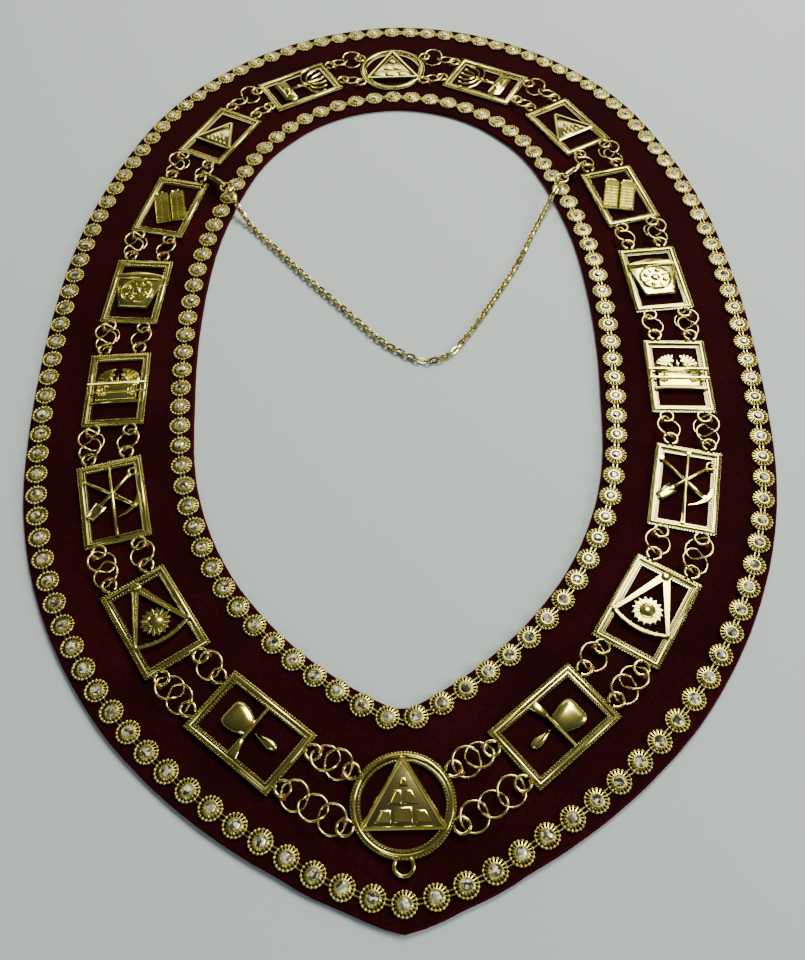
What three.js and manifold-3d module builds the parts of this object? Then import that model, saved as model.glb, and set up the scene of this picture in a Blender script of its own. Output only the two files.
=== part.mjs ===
// Chain of office: a velvet collar with two rhinestone trims, eighteen gilt plaques hung on jump rings,
// and a neck chain that closes with two lobster clasps. It lies flat, +Y towards the nape of the neck.
import * as THREE from "three";
import { mergeVertices } from "three/addons/utils/BufferGeometryUtils.js";
import Module from "manifold-3d";

const wasm = await Module();
wasm.setup();

// Driving dimensions, in millimetres and degrees.
// The chain line runs through the plaques' middles. It is arcs of [radius, turn] from the point at the
// front round one side, and a last arc, worked out here, that closes it at the nape.
const CHAIN_ARCS = [
  [46, 27],
  [191, 30],
  [179, 26],
  [480, 15],
  [290, 16],
];
const FRONT_PITCH = 61.8; // from the front pendant to its neighbours
const NAPE_PITCH = 54.5; // from the nape plaque to its neighbours

const COLLAR_THICK = 2.4;
const COLLAR_STATIONS = 76;

// How far outside the chain line the collar's edges and the trims lie, as [distance along that line
// from the front point, offset], the same on both sides. The outer edge comes to a point at the front.
const OUTER_EDGE = [
  [0, 40.8],
  [12, 35.6],
  [26, 34.4],
  [96, 37.2],
  [250, 37.4],
  [340, 39.6],
  [450, 39.8],
  [534, 44.3],
];
const INNER_EDGE = [
  [0, -34.8],
  [120, -33.9],
  [230, -34.8],
  [330, -32.1],
  [400, -31.9],
  [440, -33.8],
  [534, -32.9],
];
const OUTER_TRIM = [
  [0, 31.8],
  [14, 28.9],
  [32, 27.4],
  [110, 30.6],
  [240, 31.8],
  [340, 34],
  [450, 33.6],
  [534, 37],
];
const INNER_TRIM = [
  [0, -30.1],
  [60, -30.1],
  [110, -28.6],
  [190, -29.3],
  [250, -28.1],
  [320, -25.8],
  [430, -26.6],
  [534, -24.4],
];
const TRIM_STATIONS = 160;
const SETTING_RADIUS = 4.6;
const SETTING_PITCH = 10.55;
const TRIM_HIGH = 2.2;
const LINK_BAR_WIDE = 1.9;

const GAP = 0.3;
const PLAQUE_LONG = 41;
const PLAQUE_WIDE = 27.6;
const ROUND_RADIUS = 18.6;
const ROUND_STEPS = 24;
const FRAME_WIDE = 3.9;
const FRAME_HIGH = 2.6;
const RELIEF_LOW = 0.5; // the emblem's underside, above the plaque's
const RELIEF_HIGH = 1.7;
const RELIEF_STEP = 0.3; // what an emblem's boldest parts add to that

const TABLETS_LEAN = 25;

const EYE_RADIUS = 2.6;
const EYE_WIRE = 0.75;
const EYE_HEIGHT = 2; // the eyelet's middle, above the plaque's underside
const EYE_BEYOND = 2.7; // the eyelet's middle, past the plaque's edge
const EYE_ACROSS = 8;
const FRONT_EYES = [33, -21]; // directions of the front pendant's eyelets, up from level
const NAPE_EYES = [-33, 29];
const JEWEL_LOOP_RADIUS = 3.3;
const JEWEL_LOOP_WIRE = 0.7;
const JEWEL_LOOP_Y = -20.1; // from the pendant's middle
const JEWEL_LOOP_LOW = 0.4;
const JEWEL_LOOP_HIGH = 1.8;

const RING_RADIUS = 5;
const RING_WIRE = 0.45;
const RING_RISE = 1.7; // how far a ring's two halves pass over and under the eyelets
const RING_EASE = 1.1; // how softly it changes from one half to the other
const RING_STEPS = 10;
const RING_STEP_MOST = 9; // the widest step between the middles of two linked rings
const ONE_RING_SPAN = 12.4; // the widest gap between eyelets that one ring bridges

const CHAIN_THICK = 2.6;
const CHAIN_LOW = CHAIN_THICK / 2 + 0.2; // the chain's middle where it lies on the surface
const CHAIN_STEPS = 48;
const END_RING_RADIUS = 3.2;
const END_RING_WIRE = 0.55;
const CLASP_HEADING = 46.8;
const CLASP_ROLL = 50;
const CLASP_THICK = 2;
const CLASP_CATCH = 13.9; // from the clasp's eye to the ring wire that it holds
const CLASP_EYE_HIGH = 8;
const CLASP_RING_SIDE = -50; // where round the ring it catches, from its inner side towards the front
const PIVOT = [6.9, -1.2];
const PIN_RADIUS = 0.45;
const LEVER_THICK = 1.3;

const gilt = new THREE.MeshStandardMaterial({ color: 0xd8bd62, roughness: 0.25, metalness: 1 });
const velvet = new THREE.MeshStandardMaterial({ color: 0x3a0b12, roughness: 0.95, metalness: 0 });
const rhinestone = new THREE.MeshStandardMaterial({ color: 0xd6cf9a, roughness: 0.2, metalness: 0.8 });

const radians = THREE.MathUtils.degToRad;

// The chain line: half of it as arcs, and the point and heading at any distance along the whole loop.
function drawChainLine() {
  const arcs = [];
  let x = 0,
    y = 0,
    heading = 0,
    length = 0;
  const turns = CHAIN_ARCS.map(([radius, turn]) => [radius, radians(turn)]);
  const turned = turns.reduce((sum, [, turn]) => sum + turn, 0);
  for (const [radius, turn] of [...turns, [null, Math.PI - turned]]) {
    const r = radius ?? x / Math.sin(heading);
    arcs.push({ x, y, heading, r, start: length, long: r * turn });
    x += r * (Math.sin(heading + turn) - Math.sin(heading));
    y -= r * (Math.cos(heading + turn) - Math.cos(heading));
    heading += turn;
    length += r * turn;
  }
  return { arcs, half: length, top: y };
}
const chainLine = drawChainLine();
const chainLength = 2 * chainLine.half;
const frontEdgeY = -OUTER_EDGE[0][1];
const napeEdgeY = chainLine.top + OUTER_EDGE.at(-1)[1];
const middleY = (frontEdgeY + napeEdgeY) / 2;

// A point on the chain line: its place, its heading, and the direction that points away from the neck.
function onChain(distance, out = 0) {
  const along = THREE.MathUtils.euclideanModulo(distance, chainLength);
  const mirrored = along > chainLine.half;
  const s = mirrored ? chainLength - along : along;
  const arc = chainLine.arcs.findLast((a) => a.start <= s + 1e-9);
  const heading = arc.heading + (s - arc.start) / arc.r;
  const x = arc.x + arc.r * (Math.sin(heading) - Math.sin(arc.heading));
  const y = arc.y - arc.r * (Math.cos(heading) - Math.cos(arc.heading)) - middleY;
  const side = mirrored ? -1 : 1;
  const outward = new THREE.Vector2(side * Math.sin(heading), -Math.cos(heading));
  const point = new THREE.Vector2(side * x, y).addScaledVector(outward, out);
  return { point, outward, heading, side };
}

// How far an edge or a trim lies from the chain line at a distance along it.
function offsetAt(profile, distance) {
  const s = Math.min(distance, chainLength - distance);
  const after = Math.max(
    1,
    profile.findIndex(([at], i) => at >= s || i === profile.length - 1),
  );
  const [[start, from], [end, to]] = [profile[after - 1], profile[after]];
  return THREE.MathUtils.mapLinear(s, start, end, from, to);
}

// Solids: three.js geometry to manifold-3d and back.
function toSolid(geometry) {
  const bare = geometry.clone();
  for (const name of Object.keys(bare.attributes)) if (name !== "position") bare.deleteAttribute(name);
  const merged = mergeVertices(bare, 1e-4);
  return new wasm.Manifold(
    new wasm.Mesh({
      numProp: 3,
      vertProperties: merged.attributes.position.array,
      triVerts: new Uint32Array(merged.index.array),
    }),
  );
}

function toGeometry(solid) {
  const mesh = solid.getMesh();
  const geometry = new THREE.BufferGeometry();
  geometry.setAttribute("position", new THREE.BufferAttribute(mesh.vertProperties, 3));
  geometry.setIndex(new THREE.BufferAttribute(mesh.triVerts, 1));
  geometry.computeVertexNormals();
  return geometry;
}

const join = (geometries) => toGeometry(geometries.map(toSolid).reduce((a, b) => a.add(b)));
const cut = (geometry, ...tools) =>
  toGeometry(tools.map(toSolid).reduce((a, b) => a.subtract(b), toSolid(geometry)));

// A closed band: rings of points, one ring at each station, each joined to the next and the last to the first.
function band(stations) {
  const sides = stations[0].length;
  const positions = stations.flat().flatMap((p) => [p.x, p.y, p.z]);
  const index = [];
  stations.forEach((_, i) => {
    const next = (i + 1) % stations.length;
    for (let j = 0; j < sides; j++) {
      const k = (j + 1) % sides;
      const [a, b, c, d] = [i * sides + j, i * sides + k, next * sides + k, next * sides + j];
      index.push(a, b, c, a, c, d);
    }
  });
  const geometry = new THREE.BufferGeometry();
  geometry.setAttribute("position", new THREE.Float32BufferAttribute(positions, 3));
  geometry.setIndex(facingOut(positions, index));
  return geometry;
}

// The faces of a closed surface, turned round if they enclose a negative volume.
function facingOut(positions, index) {
  const corner = (i) => new THREE.Vector3().fromArray(positions, 3 * i);
  let volume = 0;
  for (let i = 0; i < index.length; i += 3)
    volume += corner(index[i]).dot(corner(index[i + 1]).cross(corner(index[i + 2])));
  return volume > 0 ? index : index.toReversed();
}

// A closed wire through points that lie nearly level.
function closedWire(points, radius, sides) {
  const up = new THREE.Vector3(0, 0, 1);
  return band(
    points.map((p, i) => {
      const before = points.at(i - 1);
      const after = points[(i + 1) % points.length];
      const along = after.clone().sub(before).normalize();
      const across = new THREE.Vector3().crossVectors(along, up).normalize();
      const over = new THREE.Vector3().crossVectors(across, along);
      return Array.from({ length: sides }, (_, j) => {
        const turn = (2 * Math.PI * j) / sides + Math.PI / 2;
        return p
          .clone()
          .addScaledVector(across, radius * Math.cos(turn))
          .addScaledVector(over, radius * Math.sin(turn));
      });
    }),
  );
}

function polygon(points) {
  return new THREE.Shape(points.map(([x, y]) => new THREE.Vector2(x, y)));
}

function slab(shape, low, high, curveSegments = 6) {
  const depth = high - low;
  return new THREE.ExtrudeGeometry(shape, { depth, bevelEnabled: false, curveSegments }).translate(0, 0, low);
}

const relief = (points) => slab(polygon(points), RELIEF_LOW, RELIEF_HIGH);

// A flat bar between two points of an emblem.
function bar([x1, y1], [x2, y2], wide, low = RELIEF_LOW, high = RELIEF_HIGH) {
  const long = Math.hypot(x2 - x1, y2 - y1);
  return new THREE.BoxGeometry(long, wide, high - low)
    .rotateZ(Math.atan2(y2 - y1, x2 - x1))
    .translate((x1 + x2) / 2, (y1 + y2) / 2, (low + high) / 2);
}

function disc([x, y], radius, low, high, sides = 10) {
  return new THREE.CylinderGeometry(radius, radius, high - low, sides)
    .rotateX(Math.PI / 2)
    .translate(x, y, (low + high) / 2);
}

const root = new THREE.Group();
function add(name, geometry, material, parent = root) {
  const mesh = new THREE.Mesh(geometry, material);
  mesh.name = name;
  parent.add(mesh);
  return mesh;
}

// The velvet collar: a flat band with rounded edges.
function makeCollar() {
  const edge = [0.25, 1, 0.8]; // how far the edge stands out at the bottom, the middle and the top
  const stations = Array.from({ length: COLLAR_STATIONS }, (_, i) => {
    const distance = (chainLength * i) / COLLAR_STATIONS;
    const { outward, point } = onChain(distance);
    const out = offsetAt(OUTER_EDGE, distance);
    const inner = offsetAt(INNER_EDGE, distance);
    const heights = [0, COLLAR_THICK * 0.5, COLLAR_THICK];
    const rim = (at, sign) => heights.map((z, j) => [at - sign * (1 - edge[j]), z]);
    return [...rim(out, 1), ...rim(inner, -1).reverse()].map(([across, z]) => {
      const p = point.clone().addScaledVector(outward, across);
      return new THREE.Vector3(p.x, p.y, z);
    });
  });
  add("velvet_collar", band(stations), velvet);
}

// A trim: round settings joined along a thread by short bars, as one scalloped band.
function makeTrim(name, profile, phase) {
  const stations = Array.from({ length: TRIM_STATIONS }, (_, i) => {
    const distance = (chainLength * i) / TRIM_STATIONS;
    const { point } = onChain(distance, offsetAt(profile, distance));
    return new THREE.Vector3(point.x, point.y, 0);
  });
  const line = new THREE.CatmullRomCurve3(stations, true);
  line.arcLengthDivisions = 10 * TRIM_STATIONS;
  const count = Math.round(line.getLength() / SETTING_PITCH);
  const joint = Math.asin(LINK_BAR_WIDE / 2 / SETTING_RADIUS);
  const corners = [joint, Math.PI / 2, Math.PI - joint];
  const edges = { outer: [], inner: [] };
  for (let i = 0; i < count; i++) {
    const share = (i + phase) / count;
    const point = line.getPointAt(share);
    const tangent = line.getTangentAt(share);
    const outward = new THREE.Vector3(tangent.y, -tangent.x, 0);
    for (const turn of corners) {
      const along = -SETTING_RADIUS * Math.cos(turn);
      const across = SETTING_RADIUS * Math.sin(turn);
      const base = point.clone().addScaledVector(tangent, along);
      edges.outer.push(base.clone().addScaledVector(outward, across));
      edges.inner.push(base.clone().addScaledVector(outward, -across));
    }
  }
  const shape = new THREE.Shape(edges.outer);
  shape.holes.push(new THREE.Path(edges.inner));
  add(name, slab(shape, COLLAR_THICK + GAP, COLLAR_THICK + GAP + TRIM_HIGH), rhinestone);
}

// A frame's moulding, as [distance in from the edge, height], from its outer foot.
const FRAME_CHAMFER = 1.1;
const FRAME_SIDE = 2;
const MOULDING = [
  [0, 0],
  [FRAME_WIDE, 0],
  [FRAME_WIDE, FRAME_SIDE],
  [FRAME_WIDE - FRAME_CHAMFER, FRAME_HIGH],
  [FRAME_CHAMFER, FRAME_HIGH],
  [0, FRAME_SIDE],
];

function rectangleFrame() {
  const corners = [
    [1, -1],
    [1, 1],
    [-1, 1],
    [-1, -1],
  ];
  return band(
    corners.map(([x, y]) =>
      MOULDING.map(
        ([inset, z]) => new THREE.Vector3(x * (PLAQUE_WIDE / 2 - inset), y * (PLAQUE_LONG / 2 - inset), z),
      ).reverse(),
    ),
  );
}

function roundFrame() {
  return band(
    Array.from({ length: ROUND_STEPS }, (_, i) => {
      const turn = (2 * Math.PI * i) / ROUND_STEPS;
      return MOULDING.map(
        ([inset, z]) =>
          new THREE.Vector3(
            (ROUND_RADIUS - inset) * Math.cos(turn),
            (ROUND_RADIUS - inset) * Math.sin(turn),
            z,
          ),
      ).reverse();
    }),
  );
}

// A wire eyelet, soldered on where its ring meets the frame.
function eyelet([x, y], turn = Math.PI / 2) {
  return new THREE.TorusGeometry(EYE_RADIUS, EYE_WIRE, 3, 6).rotateZ(turn).translate(x, y, EYE_HEIGHT);
}

// The emblems. Each is drawn with +Y towards the nape, and its bars run into the frame.
const halfIn = PLAQUE_WIDE / 2 - FRAME_WIDE / 2;
const halfLongIn = PLAQUE_LONG / 2 - FRAME_WIDE / 2;

// A triangle with a raised border round a sunk field.
const TRIANGLE_HOLE = 0.62; // the size of the border's hole against the whole triangle
const TRIANGLE_FIELD = 0.7;
const FIELD_THICK = 0.7;

function triangleEmblem(base, apex, half) {
  const middle = base + (apex - base) / 3;
  const triangle = (share) => [
    [-half * share, middle + (base - middle) * share],
    [half * share, middle + (base - middle) * share],
    [0, middle + (apex - middle) * share],
  ];
  const border = polygon(triangle(1));
  border.holes.push(polygon(triangle(TRIANGLE_HOLE)));
  return [
    slab(border, RELIEF_LOW, RELIEF_HIGH + RELIEF_STEP),
    slab(polygon(triangle(TRIANGLE_FIELD)), RELIEF_LOW, RELIEF_LOW + FIELD_THICK),
  ];
}

const EMBLEMS = {
  trowel: () => [
    relief([
      [-4, 2.5],
      [-4.6, 8],
      [-2.6, 11.2],
      [4.6, 11.2],
      [6.6, 8],
      [5, 2.5],
      [1.6, -0.6],
      [-1, -0.6],
    ]),
    bar([0.6, 0.5], [0.6, -10.5], 3),
    bar([-halfIn, -0.9], [halfIn, 0.3], 1.8, RELIEF_LOW, RELIEF_HIGH + RELIEF_STEP),
  ],
  compasses: () => [
    bar([0, 16.4], [-10.3, -6], 2),
    bar([0, 16.4], [10.3, -6], 2),
    bar([-halfIn, -6], [-4, -8.6], 1.6),
    bar([-4.4, -8.6], [4.4, -8.6], 1.6),
    bar([4, -8.6], [halfIn, -6], 1.6),
    disc([0, -0.8], 6.2, RELIEF_LOW, RELIEF_HIGH + RELIEF_STEP, 14),
    bar([-6.6, 0], [6.6, 0], 2),
    bar([0, 15.6], [0, halfLongIn], 2),
  ],
  tools: () => [
    bar([0, -halfLongIn], [0, halfLongIn], 1.5),
    bar([-8.6, -4.8], [halfIn, 13.4], 1.5),
    bar([8.6, -4.4], [-halfIn, 12.4], 1.5),
    relief([
      [-11.8, -5],
      [-9.2, -8],
      [-3.4, -2.6],
      [-7.6, 0.6],
    ]),
    relief([
      [halfIn, -0.6],
      [8, -5.8],
      [1.4, -9.2],
      [2, -7.6],
      [6.6, -3.8],
      [halfIn - 1.4, 2.4],
    ]),
  ],
  chest: () => [
    bar([-halfIn, -2], [halfIn, -2], 1.1),
    bar([-halfIn, 2.7], [halfIn, 2.7], 1.1),
    bar([-halfIn, -7.6], [halfIn, -7.6], 1.2),
    relief([
      [-9.2, -7.6],
      [9.2, -7.6],
      [9.2, 3],
      [-9.2, 3],
    ]),
    relief([
      [-9, 2.4],
      [9, 2.4],
      [8.4, 6.4],
      [5.6, 9.8],
      [2.2, 11.4],
      [3.6, 6],
      [0, 6.6],
      [-3.6, 6],
      [-2.2, 11.4],
      [-5.6, 9.8],
      [-8.4, 6.4],
    ]),
  ],
  keystone: () => [
    relief([
      [-7, -10.8],
      [7, -10.8],
      [halfIn + 1, 10.4],
      [6, 12.2],
      [-6, 12.2],
      [-halfIn - 1, 10.4],
    ]),
    disc([0, 0.6], 7.4, RELIEF_LOW, RELIEF_HIGH + RELIEF_STEP, 14),
  ],
  // the two tablets lean outwards, and their corners run into the frame
  tablets: (side) => [
    relief([
      [-7.6, -10.8],
      [7.6, -10.8],
      [7.6, 9],
      [5.8, 11.6],
      [2, 11.6],
      [0, 9.4],
      [-2, 11.6],
      [-5.8, 11.6],
      [-7.6, 9],
    ]).rotateZ(-side * radians(TABLETS_LEAN)),
  ],
  triangle: () => triangleEmblem(-7.8, 11.6, halfIn + 0.6),
  candlestick: () => [
    bar([0, -6], [0, 13.6], 1.6),
    bar([-halfIn, 9.4], [halfIn, 9.4], 1.5),
    bar([-halfIn, 4.2], [-6.4, 2.2], 1.3),
    bar([-6.8, 2.2], [6.8, 2.2], 1.3),
    bar([6.4, 2.2], [halfIn, 4.2], 1.3),
    relief([
      [-7, -12.6],
      [7, -12.6],
      [halfIn, -5.4],
      [-halfIn, -5.4],
    ]),
  ],
};

function rectanglePlaque(emblem, side) {
  const ends = [-1, 1].flatMap((end) =>
    [-1, 1].map((side) => [side * EYE_ACROSS, end * (PLAQUE_LONG / 2 + EYE_BEYOND)]),
  );
  return join([rectangleFrame(), ...EMBLEMS[emblem](side), ...ends.map((end) => eyelet(end))]);
}

const roundEyePlace = (degrees, side) => [
  side * (ROUND_RADIUS + EYE_BEYOND) * Math.cos(radians(degrees)),
  (ROUND_RADIUS + EYE_BEYOND) * Math.sin(radians(degrees)),
];

function roundPlaque(eyes, hasLoop) {
  const reach = ROUND_RADIUS - FRAME_WIDE * 0.7; // the triangle's corners run into the frame
  const pieces = [
    roundFrame(),
    ...triangleEmblem(-reach / 2, reach, (reach * Math.sqrt(3)) / 2),
    ...eyes.flatMap((turn) => [-1, 1].map((side) => eyelet(roundEyePlace(turn, side), side * radians(turn)))),
  ];
  if (hasLoop) {
    pieces.push(
      slab(
        washer(JEWEL_LOOP_RADIUS + JEWEL_LOOP_WIRE, JEWEL_LOOP_RADIUS - JEWEL_LOOP_WIRE),
        JEWEL_LOOP_LOW,
        JEWEL_LOOP_HIGH,
      ).translate(0, JEWEL_LOOP_Y, 0),
    );
  }
  return join(pieces);
}

function washer(outer, inner) {
  const shape = new THREE.Shape().absarc(0, 0, outer, 0, 2 * Math.PI);
  shape.holes.push(new THREE.Path().absarc(0, 0, inner, 0, 2 * Math.PI));
  return shape;
}

// The plaques, in their order from the front to the nape, the same on both sides.
const ORDER = ["trowel", "compasses", "tools", "chest", "keystone", "tablets", "triangle", "candlestick"];
const plaqueLow = COLLAR_THICK + GAP;
const last = ORDER.length + 1;
const sidePitch = (chainLine.half - FRONT_PITCH - NAPE_PITCH) / (ORDER.length - 1);

// Where a plaque lies: its middle and the turn that points its +Y along the chain to the nape.
function plaquePlace(index, side) {
  const isRound = index === 0 || index === last;
  const distance = index === last ? chainLine.half : FRONT_PITCH + (index - 1) * sidePitch;
  const { point, heading } = onChain(index === 0 ? 0 : distance);
  const turn = isRound ? 0 : side * (heading - Math.PI / 2);
  return { x: side * point.x, y: point.y, turn };
}

// A point given in a plaque's own plane, as a point on the collar.
function fromPlaque({ x, y, turn }, [u, v]) {
  return new THREE.Vector2(u, v).rotateAround(new THREE.Vector2(), turn).add(new THREE.Vector2(x, y));
}

function putPlaque(name, geometry, place) {
  const mesh = add(name, geometry, gilt);
  mesh.position.set(place.x, place.y, plaqueLow);
  mesh.rotation.z = place.turn;
}

function makePlaques() {
  putPlaque("front_pendant", roundPlaque(FRONT_EYES, true), plaquePlace(0, 1));
  putPlaque("nape_plaque", roundPlaque(NAPE_EYES, false), plaquePlace(last, 1));
  for (const [i, emblem] of ORDER.entries()) {
    putPlaque(`right_${emblem}_plaque`, rectanglePlaque(emblem, 1), plaquePlace(i + 1, 1));
    putPlaque(`left_${emblem}_plaque`, rectanglePlaque(emblem, -1), plaquePlace(i + 1, -1));
  }
}

// The eyelets at the two ends of a gap in the chain, on its inner or its outer run.
function gapEyes(gap, side, isOuter) {
  const across = (isOuter ? 1 : -1) * side * EYE_ACROSS;
  const reach = PLAQUE_LONG / 2 + EYE_BEYOND;
  const before = plaquePlace(gap, side);
  const after = plaquePlace(gap + 1, side);
  const start = gap === 0 ? roundEyePlace(FRONT_EYES[isOuter ? 1 : 0], side) : [across, reach];
  const end = gap + 1 === last ? roundEyePlace(NAPE_EYES[isOuter ? 1 : 0], side) : [across, -reach];
  return [fromPlaque(before, start), fromPlaque(after, end)];
}

// The rings of a run: how many the gap needs, and their middles.
function ringMiddles([start, end]) {
  const span = start.distanceTo(end);
  const count = span < ONE_RING_SPAN ? 1 : 1 + Math.ceil((span - 2 * RING_RADIUS) / RING_STEP_MOST);
  const first = count === 1 ? span / 2 : RING_RADIUS;
  return Array.from({ length: count }, (_, i) => {
    const along = count === 1 ? first : first + ((span - 2 * first) * i) / (count - 1);
    return start.clone().lerp(end, along / span);
  });
}

// A point of a ring: its one half passes over the eyelets and its other half under them.
const ringHeight = plaqueLow + EYE_HEIGHT;
function ringPoint(middle, direction, turn, over) {
  const across = RING_RADIUS * Math.sin(turn);
  const along = RING_RADIUS * Math.cos(turn);
  const rise = (over * RING_RISE * across) / Math.hypot(across, RING_EASE);
  const left = new THREE.Vector2(-direction.y, direction.x);
  const p = middle.clone().addScaledVector(direction, along).addScaledVector(left, across);
  return new THREE.Vector3(p.x, p.y, ringHeight + rise);
}

function ring(middle, direction, over) {
  const points = Array.from({ length: RING_STEPS }, (_, i) =>
    ringPoint(middle, direction, (2 * Math.PI * (i + 0.5)) / RING_STEPS, over),
  );
  return closedWire(points, RING_WIRE, 3);
}

// The half that lies nearer the neck is the upper one, so that the clasps can reach it.
function makeRings() {
  for (const [sideName, side] of [
    ["right", 1],
    ["left", -1],
  ]) {
    for (let gap = 0; gap < last; gap++) {
      for (const run of ["inner", "outer"]) {
        const eyes = gapEyes(gap, side, run === "outer");
        const direction = eyes[1].clone().sub(eyes[0]).normalize();
        const rings = ringMiddles(eyes).map((middle) => ring(middle, direction, side));
        add(`${sideName}_${run}_rings_${gap + 1}`, rings.length > 1 ? join(rings) : rings[0], gilt);
      }
    }
  }
}

// The clasp, in its own plane: its eye at the origin, its hook at +X, its lever on the -Y side.
const CLASP_NECK = 1.4; // half its width at the eye
const CLASP_SHOULDER = 9.5; // where its sides run straight on to the hook
const HOOK_HOLE = 2;
const HOOK_WALL = 1.1;
const HOOK_MIDDLE = 13.5;
const MOUTH_END = 12.6;
const LEVER_TIP = 12.15;
const HUB_RADIUS = 1.3;
const LEVER_WIDE = 1.1;
const leverY = -(HOOK_HOLE + HOOK_WALL / 2);

function claspBody() {
  const half = CLASP_THICK / 2;
  const wide = HOOK_HOLE + HOOK_WALL;
  const outline = new THREE.Shape();
  outline.moveTo(0, CLASP_NECK);
  outline.quadraticCurveTo(5, 1.8, CLASP_SHOULDER, wide);
  outline.lineTo(HOOK_MIDDLE, wide);
  outline.absarc(HOOK_MIDDLE, 0, wide, Math.PI / 2, -Math.PI / 2, true);
  outline.lineTo(CLASP_SHOULDER, -wide);
  outline.quadraticCurveTo(5, -1.8, 0, -CLASP_NECK);
  outline.absarc(0, 0, CLASP_NECK, -Math.PI / 2, -1.5 * Math.PI, true);
  const hole = new THREE.Path();
  hole.absarc(HOOK_MIDDLE, 0, HOOK_HOLE, -Math.PI / 2, Math.PI / 2, false);
  hole.absarc(10.6, 0, HOOK_HOLE, Math.PI / 2, 1.5 * Math.PI, false);
  outline.holes.push(hole);
  const mouth = slab(
    polygon([
      [8.2, -1.2],
      [MOUTH_END, -1.2],
      [MOUTH_END, -4],
      [8.2, -4],
    ]),
    -half - 1,
    half + 1,
  );
  const slot = slab(
    polygon([
      [4.9, -4],
      [9.6, -4],
      [9.6, 0.6],
      [5.6, 0.6],
      [4.9, -0.4],
    ]),
    -LEVER_THICK / 2 - GAP,
    LEVER_THICK / 2 + GAP,
  );
  const pin = disc(PIVOT, PIN_RADIUS, -half + 0.05, half - 0.05, 6);
  return join([cut(slab(outline, -half, half, 3), mouth, slot), pin]);
}

function claspLever() {
  const half = LEVER_THICK / 2;
  const arm = slab(
    polygon([
      [PIVOT[0] - 0.6, PIVOT[1] - 1.1],
      [8.6, leverY - LEVER_WIDE / 2],
      [LEVER_TIP - 0.6, leverY - LEVER_WIDE / 2],
      [LEVER_TIP, leverY + LEVER_WIDE / 2],
      [8.8, leverY + LEVER_WIDE / 2],
      [PIVOT[0] + 0.9, PIVOT[1] + 0.9],
    ]),
    -half,
    half,
  );
  const hub = disc(PIVOT, HUB_RADIUS, -half, half, 8);
  return cut(join([arm, hub]), disc(PIVOT, PIN_RADIUS + GAP, -half - 1, half + 1, 8));
}

// Where each clasp lies: it catches the inner ring between the tablets and the triangle.
function claspPlace(side) {
  const gap = ORDER.indexOf("tablets") + 1;
  const eyes = gapEyes(gap, 1, false);
  const direction = eyes[1].clone().sub(eyes[0]).normalize();
  const middle = ringMiddles(eyes)[0];
  const caught = ringPoint(middle, direction, Math.PI / 2 - radians(CLASP_RING_SIDE), 1);
  const heading = radians(CLASP_HEADING);
  const drop = CLASP_EYE_HIGH - caught.z;
  const level = Math.sqrt(CLASP_CATCH ** 2 - drop ** 2);
  const eye = new THREE.Vector3(
    caught.x - level * Math.cos(heading),
    caught.y - level * Math.sin(heading),
    CLASP_EYE_HIGH,
  );
  // heading, then the nose dipped to the ring, then rolled so that the lever's side is uppermost
  const turn = new THREE.Euler(radians(-CLASP_ROLL), Math.asin(drop / CLASP_CATCH), heading, "ZYX");
  const matrix = new THREE.Matrix4().makeRotationFromEuler(turn).setPosition(eye);
  if (side < 0) matrix.premultiply(new THREE.Matrix4().makeScale(-1, 1, 1));
  return { matrix, eye: new THREE.Vector3(side * eye.x, eye.y, eye.z), heading };
}

// A geometry moved by a matrix, with its faces kept facing out where the matrix mirrors it.
function moved(geometry, matrix) {
  const flat = geometry.index ? geometry.toNonIndexed() : geometry.clone();
  for (const name of Object.keys(flat.attributes)) if (name !== "position") flat.deleteAttribute(name);
  flat.applyMatrix4(matrix);
  if (matrix.determinant() > 0) return flat;
  const p = flat.attributes.position;
  const swapped = new THREE.Vector3();
  const other = new THREE.Vector3();
  for (let i = 0; i < p.count; i += 3) {
    swapped.fromBufferAttribute(p, i + 1);
    other.fromBufferAttribute(p, i + 2);
    p.setXYZ(i + 1, other.x, other.y, other.z);
    p.setXYZ(i + 2, swapped.x, swapped.y, swapped.z);
  }
  return flat;
}

// The neck chain's route over the surface that the collar lies on, from the right end ring to the left one.
const CHAIN_ROUTE = [
  [69.5, 72.1],
  [59, 48.6],
  [46.3, 26.1],
  [34.4, 6.6],
  [24.4, -6.3],
  [13.7, -10.2],
  [3.4, -5.6],
  [-8.3, 4],
  [-25.2, 23.6],
  [-41.7, 42.6],
  [-59, 64.1],
  [-71, 79.1],
];

// From an end ring the chain comes down over the collar's edge: [inward, forward, down] from the ring's middle.
const COME_DOWN = [
  [1.1, 2.9, 0],
  [3.6, 7, 0.8],
  [7.6, 14, 3.6],
];

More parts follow.
